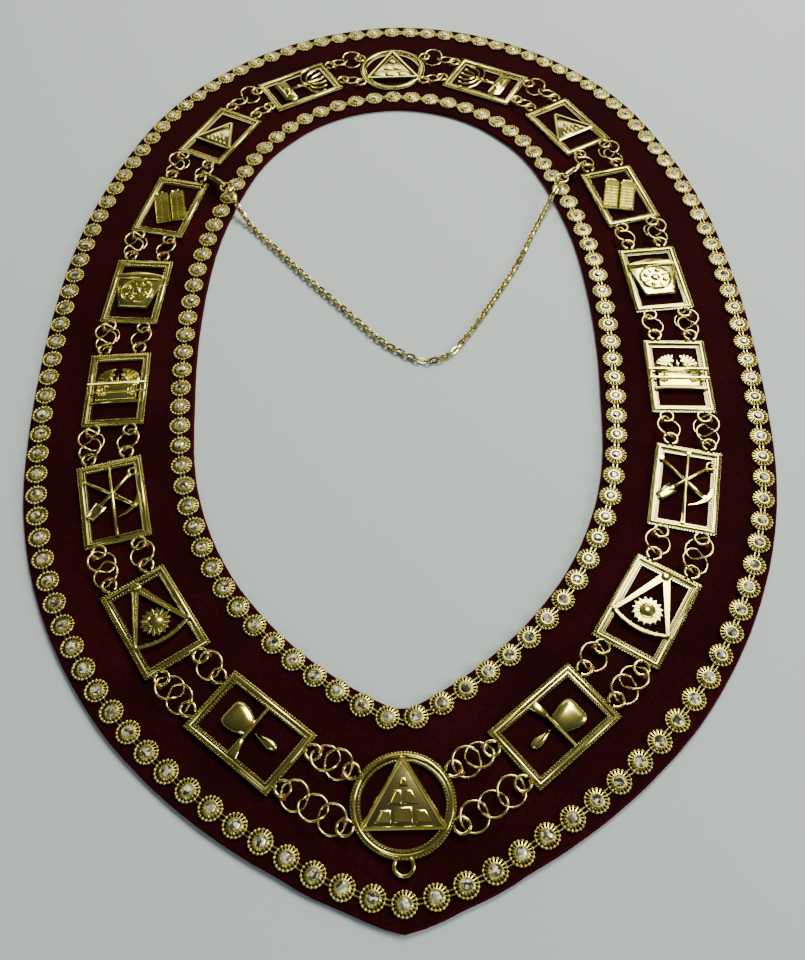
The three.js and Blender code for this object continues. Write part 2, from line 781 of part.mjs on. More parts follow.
function makeNeckChain() {
  const right = claspPlace(1);
  const left = claspPlace(-1);
  const back = END_RING_RADIUS + 0.2; // the end ring is soldered round the clasp's eye
  const ringMiddle = ({ eye, heading }, side) =>
    new THREE.Vector3(eye.x - side * back * Math.cos(heading), eye.y - back * Math.sin(heading), eye.z);
  const ends = [ringMiddle(right, 1), ringMiddle(left, -1)];
  const comeDown = (end, side) =>
    COME_DOWN.map(([inward, forward, down]) => new THREE.Vector3(end.x - side * inward, end.y - forward, end.z - down));
  const route = new THREE.CatmullRomCurve3(
    [
      ...comeDown(ends[0], 1),
      ...CHAIN_ROUTE.map(([x, y]) => new THREE.Vector3(x, y, CHAIN_LOW)),
      ...comeDown(ends[1], -1).reverse(),
    ],
    false,
    "centripetal",
  );
  const section = new THREE.Shape(
    Array.from({ length: 8 }, (_, i) => {
      const turn = (Math.PI * (i + 0.5)) / 4;
      return new THREE.Vector2(Math.cos(turn), Math.sin(turn)).multiplyScalar(CHAIN_THICK / 2);
    }),
  );
  const tube = new THREE.ExtrudeGeometry(section, {
    steps: CHAIN_STEPS,
    extrudePath: route,
    bevelEnabled: false,
  });
  const endRings = ends.map((p) =>
    new THREE.TorusGeometry(END_RING_RADIUS, END_RING_WIRE, 4, 10).translate(p.x, p.y, p.z),
  );
  const bodies = [right, left].map(({ matrix }) => moved(claspBody(), matrix));
  add("neck_chain", join([tube, ...endRings, ...bodies]), gilt);
  add("right_clasp_lever", moved(claspLever(), right.matrix), gilt);
  add("left_clasp_lever", moved(claspLever(), left.matrix), gilt);
}

makeCollar();
makeTrim("outer_trim", OUTER_TRIM, 0);
makeTrim("inner_trim", INNER_TRIM, 0.5);
makePlaques();
makeRings();
makeNeckChain();

export default root;
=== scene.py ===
from math import asin, atan2, ceil, cos, hypot, pi, radians, sin, sqrt

import bpy
from mathutils import Euler, Matrix, Vector, noise


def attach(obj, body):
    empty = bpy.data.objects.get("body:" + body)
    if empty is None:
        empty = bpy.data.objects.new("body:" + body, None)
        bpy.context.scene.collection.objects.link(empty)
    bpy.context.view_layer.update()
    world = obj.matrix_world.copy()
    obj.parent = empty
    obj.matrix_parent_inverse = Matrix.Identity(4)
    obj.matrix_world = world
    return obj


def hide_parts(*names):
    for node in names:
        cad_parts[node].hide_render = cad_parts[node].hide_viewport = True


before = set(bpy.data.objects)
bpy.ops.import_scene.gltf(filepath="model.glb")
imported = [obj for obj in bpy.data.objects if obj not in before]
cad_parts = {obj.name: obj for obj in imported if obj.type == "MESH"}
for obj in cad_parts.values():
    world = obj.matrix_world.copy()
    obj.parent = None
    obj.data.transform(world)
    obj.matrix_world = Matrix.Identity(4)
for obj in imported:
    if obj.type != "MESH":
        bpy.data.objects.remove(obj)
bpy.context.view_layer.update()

mm = 0.001


# small tools
def pick(*objs):  # only these selected, the first of them active
    for obj in bpy.context.selected_objects:
        obj.select_set(False)
    for obj in objs:
        obj.select_set(True)
    bpy.context.view_layer.objects.active = objs[0]


def joined(name, parts):  # several parts made one object
    pick(*parts)
    if len(parts) > 1:
        bpy.ops.object.join()
    obj = bpy.context.object
    obj.name = obj.data.name = name
    return obj


def settled(obj):  # its place moved into its mesh
    pick(obj)
    bpy.ops.object.transform_apply()
    return obj


def smoothed(obj, angle):
    pick(obj)
    bpy.ops.object.shade_smooth_by_angle(angle=radians(angle))
    return obj


def removed(*objs):
    for obj in objs:
        bpy.data.objects.remove(obj)


def mode(name):
    bpy.ops.object.mode_set(mode=name)


def faceOutward():  # every normal turned outward, and back to object mode
    bpy.ops.mesh.select_all(action="SELECT")
    bpy.ops.mesh.normals_make_consistent(inside=False)
    mode("OBJECT")


def editFaces(obj, wanted):  # edit mode, with only the faces selected for which the test holds
    pick(obj)
    mode("EDIT")
    bpy.ops.mesh.select_mode(type="FACE")
    bpy.ops.mesh.select_all(action="DESELECT")
    mode("OBJECT")
    for face in obj.data.polygons:
        face.select = wanted(face)
    mode("EDIT")


def linked(name, mesh):
    obj = bpy.data.objects.new(name, mesh)
    bpy.context.scene.collection.objects.link(obj)
    return obj


def moved(x, y, z):  # a place given in mm
    return Matrix.Translation((x * mm, y * mm, z * mm))


def turnZ(angle):
    return Matrix.Rotation(angle, 4, "Z")


def lengthsTo(line):  # how far along a line each of its points lies
    reached = [0]
    for a, b in zip(line, line[1:]):
        reached.append(reached[-1] + (b - a).length)
    return reached


def copies(name, template, places):  # one object that holds the template's mesh at each place
    source = template.data
    points = [v.co for v in source.vertices]
    faces = [tuple(p.vertices) for p in source.polygons]
    slots = [p.material_index for p in source.polygons]
    verts, polys = [], []
    for place in places:
        first = len(verts)
        verts.extend(place @ p for p in points)
        polys.extend(tuple(i + first for i in face) for face in faces)
    mesh = bpy.data.meshes.new(name)
    mesh.from_pydata(verts, [], polys)
    for material in source.materials:
        mesh.materials.append(material)
    mesh.polygons.foreach_set("material_index", slots * len(places))
    return linked(name, mesh)


def finished(obj, body, nodes):  # a piece in place: what it rides on and what it stands for
    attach(obj, body)
    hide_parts(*nodes)


# materials
def linear(code):  # an sRGB hex colour, as Blender wants it
    parts = [int(code[i : i + 2], 16) / 255 for i in (0, 2, 4)]
    return (*(c / 12.92 if c <= 0.04045 else ((c + 0.055) / 1.055) ** 2.4 for c in parts), 1)


def addNode(tree, kind, inputs=(), **settings):
    node = tree.nodes.new("ShaderNode" + kind)
    for name, value in settings.items():
        setattr(node, name, value)
    for socket, value in dict(inputs).items():
        if isinstance(value, bpy.types.NodeSocket):
            tree.links.new(value, node.inputs[socket])
        else:
            node.inputs[socket].default_value = value
    return node


def newMaterial(name, **sockets):
    material = bpy.data.materials.new(name)
    material.use_nodes = True
    tree = material.node_tree
    shader = tree.nodes["Principled BSDF"]
    for socket, value in sockets.items():
        shader.inputs[socket.replace("_", " ")].default_value = value
    return material, tree, shader


def patterned(name, **sockets):  # a new material, and the Object coordinates its pattern lies on
    material, tree, shader = newMaterial(name, **sockets)
    return material, tree, shader, addNode(tree, "TexCoord").outputs["Object"]


def ramp(tree, factor, stops):
    node = addNode(tree, "ValToRGB", {"Fac": factor})
    elements = node.color_ramp.elements
    while len(elements) < len(stops):
        elements.new(0.5)
    for element, (position, colour) in zip(elements, stops):
        element.position = position
        element.color = linear(colour)
    return node.outputs["Color"]


def giltMetal(name, colour, dark, roughness, grainSize, recessShade=None):
    # gilt brass, cast and tumbled: bright yellow, greener where the gilding is thin, with painted shade low
    # in the relief
    material, tree, shader, place = patterned(name, Metallic=1.0)
    cloud = addNode(tree, "TexNoise", {"Vector": place, "Scale": 1 / (grainSize * mm), "Detail": 3.0})
    tint = ramp(tree, cloud.outputs["Fac"], [(0.35, dark), (0.6, colour)])
    # painted shade: the relief below a given height is mixed towards a duller, darker colour
    if recessShade:
        height = addNode(tree, "SeparateXYZ", {"Vector": place}).outputs["Z"]
        low, high = recessShade["below"] * mm, recessShade["above"] * mm
        share = addNode(tree, "MapRange", {"Value": height, "From Min": low, "From Max": high})
        shades = {"Factor": share.outputs["Result"], "A": linear(recessShade["colour"]), "B": tint}
        tint = addNode(tree, "Mix", shades, data_type="RGBA").outputs["Result"]
    tree.links.new(tint, shader.inputs["Base Color"])
    spread = {"From Min": 0.3, "From Max": 0.7, "To Min": roughness[0], "To Max": roughness[1]}
    wear = addNode(tree, "MapRange", {"Value": cloud.outputs["Fac"], **spread})
    tree.links.new(wear.outputs["Result"], shader.inputs["Roughness"])
    return material


# how high above the table, in mm, the painted shade low in the relief ends and the bright tint begins
castingRecessShade = {"colour": "a29c68", "below": 3.9, "above": 4.45}
stampingRecessShade = {"colour": "6e6638", "below": 2.9, "above": 3.5}
giltCasting = giltMetal("giltCasting", "e2d878", "c8bc5c", (0.1, 0.16), 9, castingRecessShade)
giltWire = giltMetal("giltWire", "e0d684", "c4b664", (0.12, 0.2), 4)
giltStamping = giltMetal("giltStamping", "e4da84", "c4b65e", (0.22, 0.34), 2.5, stampingRecessShade)


def makeVelvet():
    # silk velvet with a cut pile: nearly black from above, with a painted wine-red sheen along its rounded
    # edges
    # its clumps are coarser than the pile itself, so that they show
    material, tree, shader = newMaterial(
        "cutPileVelvet", Roughness=0.95, Sheen_Weight=0.28, Sheen_Roughness=0.4, Specular_IOR_Level=0.03
    )
    shader.inputs["Sheen Tint"].default_value = linear("6a0d16")
    place = addNode(tree, "TexCoord").outputs["Object"]
    brushed = {"Vector": place, "Scale": 1 / (45 * mm), "Detail": 4.0, "Roughness": 0.6}
    nap = addNode(tree, "TexNoise", brushed)
    pile = addNode(tree, "TexNoise", {"Vector": place, "Scale": 1 / (1.3 * mm), "Detail": 3.0})
    both = addNode(tree, "Math", {0: nap.outputs["Fac"], 1: pile.outputs["Fac"]}, operation="ADD")
    half = addNode(tree, "Math", {0: both.outputs[0], 1: 0.5}, operation="MULTIPLY")
    tint = ramp(tree, half.outputs[0], [(0.36, "180406"), (0.5, "200508"), (0.66, "2f070b")])
    # painted sheen: the collar's rounded edges are mixed towards a redder colour
    edge = addNode(tree, "Attribute", attribute_name="sheenEdge").outputs["Fac"]
    mixed = addNode(tree, "Mix", {"Factor": edge, "A": tint, "B": linear("34080e")}, data_type="RGBA")
    tree.links.new(mixed.outputs["Result"], shader.inputs["Base Color"])
    bump = addNode(tree, "Bump", {"Height": pile.outputs["Fac"], "Strength": 0.25, "Distance": 0.3 * mm})
    tree.links.new(bump.outputs["Normal"], shader.inputs["Normal"])
    return material


def makeLining():
    # cotton twill lining: matt, with its diagonal rib drawn coarser than a twill's so that it shows
    material, tree, shader, place = patterned("twillLining", Roughness=0.85, Sheen_Weight=0.2)
    turned = addNode(tree, "Mapping", {"Vector": place, "Rotation": (0, 0, radians(45))})
    rib = addNode(tree, "TexWave", {"Vector": turned.outputs["Vector"], "Scale": 1 / (24 * mm)})
    tint = ramp(tree, rib.outputs["Fac"], [(0.2, "1c0b0e"), (0.8, "33161b")])
    tree.links.new(tint, shader.inputs["Base Color"])
    return material


def makeThread():
    # mercerised cotton thread: bright red, with a soft gloss, its twist coarser than real so that it shows
    material, tree, shader, place = patterned("redThread", Roughness=0.5, Sheen_Weight=0.4)
    twist = addNode(tree, "TexNoise", {"Vector": place, "Scale": 1 / (0.5 * mm), "Detail": 2.0})
    tint = ramp(tree, twist.outputs["Fac"], [(0.35, "6d0410"), (0.65, "c2101c")])
    tree.links.new(tint, shader.inputs["Base Color"])
    return material


def makeCrystal():
    # lead crystal, cut in facets and foiled behind: painted glints, random hard white or grey patches, stand
    # in for the facets' reflections
    material, tree, shader, place = patterned(
        "foiledCrystal", Roughness=0.05, Metallic=0.25, Coat_Weight=0.5, Coat_Roughness=0.02
    )
    # painted reflections: each cell gets a random white or grey
    paintedGlints = addNode(tree, "TexVoronoi", {"Vector": place, "Scale": 1 / (1.3 * mm)})
    tone = addNode(tree, "SeparateColor", {"Color": paintedGlints.outputs["Color"]}).outputs["Red"]
    tint = ramp(tree, tone, [(0.1, "2e3024"), (0.45, "7d7e68"), (0.7, "b9b99f"), (0.92, "f4f4e6")])
    tree.links.new(tint, shader.inputs["Base Color"])
    return material


velvet = makeVelvet()
lining = makeLining()
redThread = makeThread()
crystal = makeCrystal()

# where everything lies: the chain line runs through the plaques' middles
layout = {
    "arcs": [(46, 27), (191, 30), (179, 26), (480, 15), (290, 16)],  # radius and turn, from the front point
    # how far outside the chain line each edge and trim lies, by distance along it from the front point
    "outerEdge": [
        (0, 40.8), (12, 35.6), (26, 34.4), (96, 37.2), (250, 37.4), (340, 39.6), (450, 39.8), (534, 44.3),
    ],
    "innerEdge": [
        (0, -34.8), (120, -33.9), (230, -34.8), (330, -32.1), (400, -31.9), (440, -33.8), (534, -32.9),
    ],
    "outerTrim": [
        (0, 31.8), (14, 28.9), (32, 27.4), (110, 30.6), (240, 31.8), (340, 34), (450, 33.6), (534, 37),
    ],
    "innerTrim": [
        (0, -30.1), (60, -30.1), (110, -28.6), (190, -29.3),
        (250, -28.1), (320, -25.8), (430, -26.6), (534, -24.4),
    ],
    "collarThick": 2.4,
    "gap": 0.3,
    "frontPitch": 61.8,
    "napePitch": 54.5,
    "plaqueLong": 41,
    "plaqueWide": 27.6,
    "roundRadius": 18.6,
    "eyeBeyond": 2.7,
    "eyeAcross": 8,
    "eyeHeight": 2,
    "frontEyes": (33, -21),
    "napeEyes": (-33, 29),
    "ringRadius": 5,
    "oneRingSpan": 12.4,
    "ringStepMost": 9,
    "order": ["trowel", "compasses", "tools", "chest", "keystone", "tablets", "triangle", "candlestick"],
}


def drawChainLine():
    arcs, x, y, heading, length = [], 0.0, 0.0, 0.0, 0.0
    turns = [(radius, radians(turn)) for radius, turn in layout["arcs"]]
    turns.append((None, pi - sum(turn for _, turn in turns)))
    for radius, turn in turns:
        r = radius or x / sin(heading)
        arcs.append({"x": x, "y": y, "heading": heading, "r": r, "start": length, "long": r * turn})
        x += r * (sin(heading + turn) - sin(heading))
        y -= r * (cos(heading + turn) - cos(heading))
        heading += turn
        length += r * turn
    return arcs, length, y


chainArcs, chainHalf, chainTop = drawChainLine()
chainLength = 2 * chainHalf
middleY = (chainTop + layout["outerEdge"][-1][1] - layout["outerEdge"][0][1]) / 2


def onChain(distance, out=0):
    along = distance % chainLength
    side = -1 if along > chainHalf else 1
    s = chainLength - along if side < 0 else along
    arc = [a for a in chainArcs if a["start"] <= s + 1e-9][-1]
    heading = arc["heading"] + (s - arc["start"]) / arc["r"]
    x = arc["x"] + arc["r"] * (sin(heading) - sin(arc["heading"]))
    y = arc["y"] - arc["r"] * (cos(heading) - cos(arc["heading"])) - middleY
    outward = Vector((side * sin(heading), -cos(heading)))
    return Vector((side * x, y)) + outward * out, outward, heading


def offsetAt(profile, distance):
    s = min(distance % chainLength, chainLength - distance % chainLength)
    for (start, low), (end, high) in zip(profile, profile[1:]):
        if s <= end or end == profile[-1][0]:
            return low + (high - low) * (s - start) / (end - start)


def evenlyAlong(profile, pitch, phase):  # places spaced evenly along a trim's line, and its heading at each
    steps = 1000
    spots = [chainLength * i / steps for i in range(steps)]
    line = [onChain(spot, offsetAt(profile, spot))[0] for spot in spots]
    line.append(line[0])
    reached = lengthsTo(line)
    count = round(reached[-1] / pitch)
    found, k = [], 0
    for i in range(count):
        wanted = (i + phase) / count * reached[-1]
        while reached[k + 1] < wanted:
            k += 1
        share = (wanted - reached[k]) / (reached[k + 1] - reached[k])
        before, after = line[max(k - 3, 0)], line[min(k + 4, steps)]
        found.append((line[k].lerp(line[k + 1], share), atan2(after.y - before.y, after.x - before.x)))
    return found


lastPlaque = len(layout["order"]) + 1
plaqueLow = layout["collarThick"] + layout["gap"]
sidePitch = (chainHalf - layout["frontPitch"] - layout["napePitch"]) / (len(layout["order"]) - 1)


def plaquePlace(index, side):
    distance = 0 if index == 0 else chainHalf
    if 0 < index < lastPlaque:
        distance = layout["frontPitch"] + (index - 1) * sidePitch
    point, _, heading = onChain(distance)
    turn = side * (heading - pi / 2) if 0 < index < lastPlaque else 0
    return Vector((side * point.x, point.y)), turn


def plaqueMatrix(index, side):
    middle, turn = plaquePlace(index, side)
    return moved(middle.x, middle.y, plaqueLow) @ turnZ(turn)


def fromPlaque(index, side, point):
    middle, turn = plaquePlace(index, side)
    x, y = point
    return middle + Vector((x * cos(turn) - y * sin(turn), x * sin(turn) + y * cos(turn)))


def roundEye(degrees, side):
    reach = layout["roundRadius"] + layout["eyeBeyond"]
    return side * reach * cos(radians(degrees)), reach * sin(radians(degrees))


def gapEyes(gap, side, isOuter):
    across = (1 if isOuter else -1) * side * layout["eyeAcross"]
    reach = layout["plaqueLong"] / 2 + layout["eyeBeyond"]
    start = roundEye(layout["frontEyes"][isOuter], side) if gap == 0 else (across, reach)
    end = roundEye(layout["napeEyes"][isOuter], side) if gap + 1 == lastPlaque else (across, -reach)
    return fromPlaque(gap, side, start), fromPlaque(gap + 1, side, end)


def ringMiddles(start, end):
    span = (end - start).length
    radius = layout["ringRadius"]
    count = 1 if span < layout["oneRingSpan"] else 1 + ceil((span - 2 * radius) / layout["ringStepMost"])
    first = span / 2 if count == 1 else radius
    steps = max(count - 1, 1)
    return [start.lerp(end, (first + (span - 2 * first) * i / steps) / span) for i in range(count)]


print("layout: half chain", round(chainHalf, 1), "mm, plaque pitch", round(sidePitch, 1), "mm")

# camera, lights and floor
cameraView = {"place": (5.63, -299.3, 345.0), "aim": (1.71, -77.09, 5.3), "roll": -2.193, "lens": 36.74}


def makeCamera():
    place, aim = Vector(cameraView["place"]) * mm, Vector(cameraView["aim"]) * mm
    bpy.ops.object.camera_add(location=place)
    camera = bpy.context.object
    camera.data.lens = cameraView["lens"]
    camera.data.clip_start = 0.01
    aimed = (aim - place).to_track_quat("-Z", "Y")
    camera.rotation_mode = "QUATERNION"
    camera.rotation_quaternion = aimed @ Euler((0, 0, radians(cameraView["roll"]))).to_quaternion()
    bpy.context.scene.camera = camera


# each light's place and aim in metres, its size, power and colour
studio = {
    "window": ((0.42, 0.79, 1.2), (0.05, 0, 0), (0.5, 0.6), 26, (1, 0.95, 0.78)),
    "back": ((-0.05, 1.75, 1.0), (0, 0.1, 0), (1.1, 0.3), 5, (1, 0.94, 0.72)),
    "side": ((1.3, -0.25, 0.85), (0, -0.05, 0), (0.5, 0.7), 17, (1, 0.97, 0.88)),
    "front": ((-0.55, -1.4, 1.1), (0, 0, 0), (0.6, 0.5), 5, (0.94, 0.97, 1)),
}


def makeStudio():
    for name, (place, aim, size, power, colour) in studio.items():
        bpy.ops.object.light_add(type="AREA", location=place)
        lamp = bpy.context.object
        lamp.name = name + "Light"
        lamp.data.shape = "RECTANGLE"
        lamp.data.size, lamp.data.size_y = size
        lamp.data.energy = power
        lamp.data.color = colour
        lamp.rotation_euler = (Vector(aim) - Vector(place)).to_track_quat("-Z", "Y").to_euler()
    world = bpy.data.worlds.new("softRoom")
    world.use_nodes = True
    tree = world.node_tree
    towards = addNode(tree, "TexCoord").outputs["Generated"]
    window = Vector(studio["window"][0]).normalized()
    facing = addNode(tree, "VectorMath", {0: towards, 1: window}, operation="DOT_PRODUCT")
    glow = [(0.0, "363b40"), (0.8, "5c6268"), (0.93, "837f70"), (0.965, "aea68a"), (0.982, "f4ebc8")]
    sky = ramp(tree, facing.outputs["Value"], glow)
    height = addNode(tree, "SeparateXYZ", {"Vector": towards}).outputs["Z"]
    walls = ramp(tree, height, [(0.0, "cfcdc2"), (0.2, "a8a598"), (0.42, "6b695e"), (0.52, "000000")])
    room = addNode(tree, "Mix", {"Factor": 1.0, "A": sky, "B": walls}, data_type="RGBA", blend_type="LIGHTEN")
    tree.links.new(room.outputs["Result"], tree.nodes["Background"].inputs["Color"])
    tree.nodes["Background"].inputs["Strength"].default_value = 0.9
    bpy.context.scene.world = world
    bpy.ops.mesh.primitive_plane_add(size=3, location=(0, 0, -0.02 * mm))
    floor = bpy.context.object
    floor.name = "studioFloor"
    paper, tree, shader = newMaterial("palePaper", Roughness=0.9)
    shader.inputs["Base Color"].default_value = linear("b6c3c9")
    floor.data.materials.append(paper)


makeCamera()
makeStudio()
print("camera, lights and floor made")

# the velvet collar
collar = {
    "stations": 300,
    "edge": 1.0,
    "edgeSteps": 5,
    "topSteps": 8,
    "ripple": 0.22,
    "rippleSize": 34,
    "fuzz": 0.12,
    "fuzzSize": 1.6,
    "fuzzFrom": 0.2,
}


def makeCollar():
    thick, edge = layout["collarThick"], collar["edge"]
    rows = []
    for i in range(collar["stations"]):
        distance = chainLength * i / collar["stations"]
        point, outward, _ = onChain(distance)
        out, inner = offsetAt(layout["outerEdge"], distance), offsetAt(layout["innerEdge"], distance)
        section = []
        for k in range(collar["edgeSteps"] + 1):  # round the outer edge
            turn = pi * k / collar["edgeSteps"] - pi / 2
            section.append((out - edge + edge * cos(turn), thick / 2 + thick / 2 * sin(turn)))
        for k in range(1, collar["topSteps"]):
            section.append((out - edge + (inner + 2 * edge - out) * k / collar["topSteps"], thick))
        for k in range(collar["edgeSteps"] + 1):
            turn = pi / 2 + pi * k / collar["edgeSteps"]
            section.append((inner + edge + edge * cos(turn), thick / 2 + thick / 2 * sin(turn)))
        ring = []
        for across, z in section:
            p = point + outward * across
            if collar["fuzzFrom"] < z < thick:  # the pile stands out unevenly along the edges
                p += outward * collar["fuzz"] * noise.noise(Vector((p.x, p.y, z)) / collar["fuzzSize"])
            lift = collar["ripple"] * noise.noise(Vector((p.x, p.y, 0)) / collar["rippleSize"])
            ring.append(Vector((p.x, p.y, max(0, z + (lift if z > thick / 2 else 0)))) * mm)
        rows.append(ring)
    verts = [p for ring in rows for p in ring]
    sides = len(rows[0])
    faces = []
    for i in range(len(rows)):
        a, b = i * sides, (i + 1) % len(rows) * sides
        faces += [(a + j, b + j, b + (j + 1) % sides, a + (j + 1) % sides) for j in range(sides)]
    mesh = bpy.data.meshes.new("velvetCollar")
    mesh.from_pydata(verts, [], faces)
    top = {j for j, (_, z) in enumerate(section) if z == thick}
    # painted sheen: marks the rounded edges, 1 there and 0 on the top
    pile = mesh.attributes.new("sheenEdge", "FLOAT", "POINT")
    pile.data.foreach_set("value", [0.0 if i % sides in top else 1.0 for i in range(len(verts))])
    obj = linked("velvetCollar", mesh)
    pick(obj)
    mode("EDIT")
    faceOutward()
    mesh.materials.append(velvet)
    mesh.materials.append(lining)
    for face in mesh.polygons:
        face.use_smooth = True
        if face.normal.z < -0.9:
            face.material_index = 1
    finished(obj, "collar", ["velvet_collar"])


makeCollar()
print("velvet collar made")

# the rhinestone trims
trim = {
    "pitch": 10.55,
    "claws": 18,
    "cup": {"foot": 3.5, "top": 2.3, "deep": 1.1, "high": 0.7},
    "blade": {"from": 2.4, "middle": 3.35, "long": 1.9, "wide": 0.62, "thick": 0.8, "high": 0.85},
    "tip": {"out": 4.1, "radius": 0.7},
    "bezel": {"radius": 2.2, "wire": 0.26, "high": 1.5},
    "rim": {"radius": 4, "wire": 0.3, "high": 0.7},
    "bar": {"across": 0.8, "radius": 0.34, "deep": 2.4, "high": 0.55},
    "stone": {"radius": 2, "deep": 0.9, "high": 1.05, "table": ((0.5, 0.4), (0.55, 0.2))},
}


def torus(ring, around, across, middle):
    bpy.ops.mesh.primitive_torus_add(
        major_segments=around,
        minor_segments=across,
        major_radius=ring["radius"] * mm,
        minor_radius=ring["wire"] * mm,
        location=middle,
    )
    return settled(bpy.context.object)


def cylinder(sides, part, x, y, rotation=(0, 0, 0)):
    place = (x * mm, y * mm, part["high"] * mm)
    radius, deep = part["radius"] * mm, part["deep"] * mm
    bpy.ops.mesh.primitive_cylinder_add(
        vertices=sides, radius=radius, depth=deep, location=place, rotation=rotation
    )
    return settled(bpy.context.object)


def makeClaws():  # each is a thin blade out from the cup to a bead at its tip
    blade, tip, high = trim["blade"], trim["tip"], trim["blade"]["high"] * mm
    size = (blade["long"] * mm, blade["wide"] * mm, blade["thick"] * mm)
    bpy.ops.mesh.primitive_cube_add(size=1, location=(blade["middle"] * mm, 0, high), scale=size)
    claw = settled(bpy.context.object)
    for v in claw.data.vertices:  # it falls from the cup to the tip
        share = (v.co.x / mm - blade["from"]) / blade["long"]
        v.co.z += (0.35 * (1 - share) - 0.15) * mm
        if v.co.z > 0.9 * mm:  # its back is narrower than its foot
            v.co.y *= 0.45
    place, radius = (tip["out"] * mm, 0, high), tip["radius"] * mm
    bpy.ops.mesh.primitive_ico_sphere_add(subdivisions=1, radius=radius, location=place, scale=(0.8, 1, 1))
    claw = joined("claw", [claw, settled(bpy.context.object)])
    claws = copies("claws", claw, [turnZ(2 * pi * (i + 0.5) / trim["claws"]) for i in range(trim["claws"])])
    removed(claw)
    return claws


def makeSetting():
    # a shallow cup under the stone, with its claws
    form, place = trim["cup"], (0, 0, trim["cup"]["high"] * mm)
    foot, top, deep = form["foot"] * mm, form["top"] * mm, form["deep"] * mm
    bpy.ops.mesh.primitive_cone_add(vertices=18, radius1=foot, radius2=top, depth=deep, location=place)
    cup = settled(bpy.context.object)
    claws = makeClaws()
    # the bezel round the stone, and the rim that joins the claws' tips
    bezel = torus(trim["bezel"], 18, 6, (0, 0, trim["bezel"]["high"] * mm))
    rim = torus(trim["rim"], 18, 4, (0, 0, trim["rim"]["high"] * mm))
    # two thin bars that join it to the next setting
    bar = trim["bar"]
    bars = [cylinder(6, bar, trim["pitch"] / 2, y, (0, pi / 2, 0)) for y in (-bar["across"], bar["across"])]
    metal = joined("metal", [claws, cup, bezel, rim, *bars])
    metal.data.materials.clear()
    metal.data.materials.append(giltStamping)
    # the stone: a flat table, a crown of facets, and a girdle that the bezel holds
    stone = cylinder(8, trim["stone"], 0, 0)
    editFaces(stone, lambda face: face.normal.z > 0.9)
    for turn, (inward, up) in zip((0, radians(22.5)), trim["stone"]["table"]):
        if turn:
            bpy.ops.transform.rotate(value=turn, orient_axis="Z", center_override=(0, 0, 0))
        bpy.ops.mesh.inset(thickness=inward * mm, depth=up * mm)
    bpy.ops.mesh.quads_convert_to_tris()
    mode("OBJECT")
    stone.data.materials.append(crystal)
    return joined("setting", [metal, stone])


def makeTrim(name, node, profile, phase, setting):
    spots = evenlyAlong(layout[profile], trim["pitch"], phase)
    places = [moved(point.x, point.y, layout["collarThick"]) @ turnZ(turn) for point, turn in spots]
    obj = smoothed(copies(name, setting, places), 50)
    for face in obj.data.polygons:  # the metal is smooth and the stone keeps its facets
        face.use_smooth = obj.data.materials[face.material_index] != crystal
    print(name, len(places), "settings of", len(setting.data.polygons), "faces")
    finished(obj, "collar", [node])


setting = makeSetting()
makeTrim("outerTrim", "outer_trim", "outerTrim", 0, setting)
makeTrim("innerTrim", "inner_trim", "innerTrim", 0.5, setting)
removed(setting)


# shaping tools for the castings
def stepped(points, low, wall, steps, selectBy="VERT"):
    # an outline pulled up into a wall, then stepped in and up; it stays in edit mode, with its top selected
    bpy.ops.mesh.primitive_circle_add(vertices=len(points), radius=mm, fill_type="NGON")
    obj = bpy.context.object
    turning = sum(a[0] * b[1] - b[0] * a[1] for a, b in zip(points, [*points[1:], points[0]]))
    if (turning > 0) == (obj.data.polygons[0].normal.z < 0):
        points = points[::-1]
    for v, (x, y) in zip(obj.data.vertices, points):
        v.co = (x * mm, y * mm, low * mm)
    mode("EDIT")
    bpy.ops.mesh.select_mode(type=selectBy)
    bpy.ops.mesh.select_all(action="SELECT")
    bpy.ops.mesh.extrude_region_move(TRANSFORM_OT_translate={"value": (0, 0, wall * mm)})
    for inward, up in steps:
        bpy.ops.mesh.inset(thickness=inward * mm, depth=up * mm)
    return obj


def raised(points, low, wall, steps):
    obj = stepped(points, low, wall, steps)
    faceOutward()
    return obj


def strip(start, end, wide, low, wall, steps, endWide=None):
    # a straight bar between two points, which may taper
    a, b = Vector(start), Vector(end)
    across = (b - a).normalized().orthogonal()
    w1, w2 = wide / 2, (endWide or wide) / 2
    corners = [a + across * w1, a - across * w1, b - across * w2, b + across * w2]
    return raised([tuple(c) for c in corners], low, wall, steps)


def ringPoints(middle, radius, count):
    turns = [2 * pi * i / count for i in range(count)]
    return [(middle[0] + radius * cos(t), middle[1] + radius * sin(t)) for t in turns]


def arcPoints(middle, radius, start, end, count):  # from one angle to another, in degrees
    turns = [radians(start + (end - start) * i / count) for i in range(count + 1)]
    return [(middle[0] + radius * cos(t), middle[1] + radius * sin(t)) for t in turns]


def boss(middle, radius, low, wall, steps, sides=24):
    return raised(ringPoints(middle, radius, sides), low, wall, steps)


def tube(points, radius, closed=False, sides=3):
    # a wire bent through points given in mm
    bpy.ops.curve.primitive_nurbs_path_add()
    obj = bpy.context.object
    curve = obj.data
    curve.splines.clear()
    spline = curve.splines.new("POLY")
    spline.points.add(len(points) - 1)
    for p, (x, y, z) in zip(spline.points, points):
        p.co = (x * mm, y * mm, z * mm, 1)
    spline.use_cyclic_u = closed
    curve.bevel_depth = radius * mm
    curve.bevel_resolution = sides
    curve.use_fill_caps = not closed
    pick(obj)
    bpy.ops.object.convert(target="MESH")
    return bpy.context.object


def arcTube(middle, radius, start, end, height, wire, count):
    return tube([(x, y, height) for x, y in arcPoints(middle, radius, start, end, count)], wire)


bpy.ops.mesh.primitive_ico_sphere_add(subdivisions=1, radius=mm)
bead = bpy.context.object


def beads(points, radius, height):
    return copies("beads", bead, [moved(x, y, height) @ Matrix.Scale(radius, 4) for x, y in points])


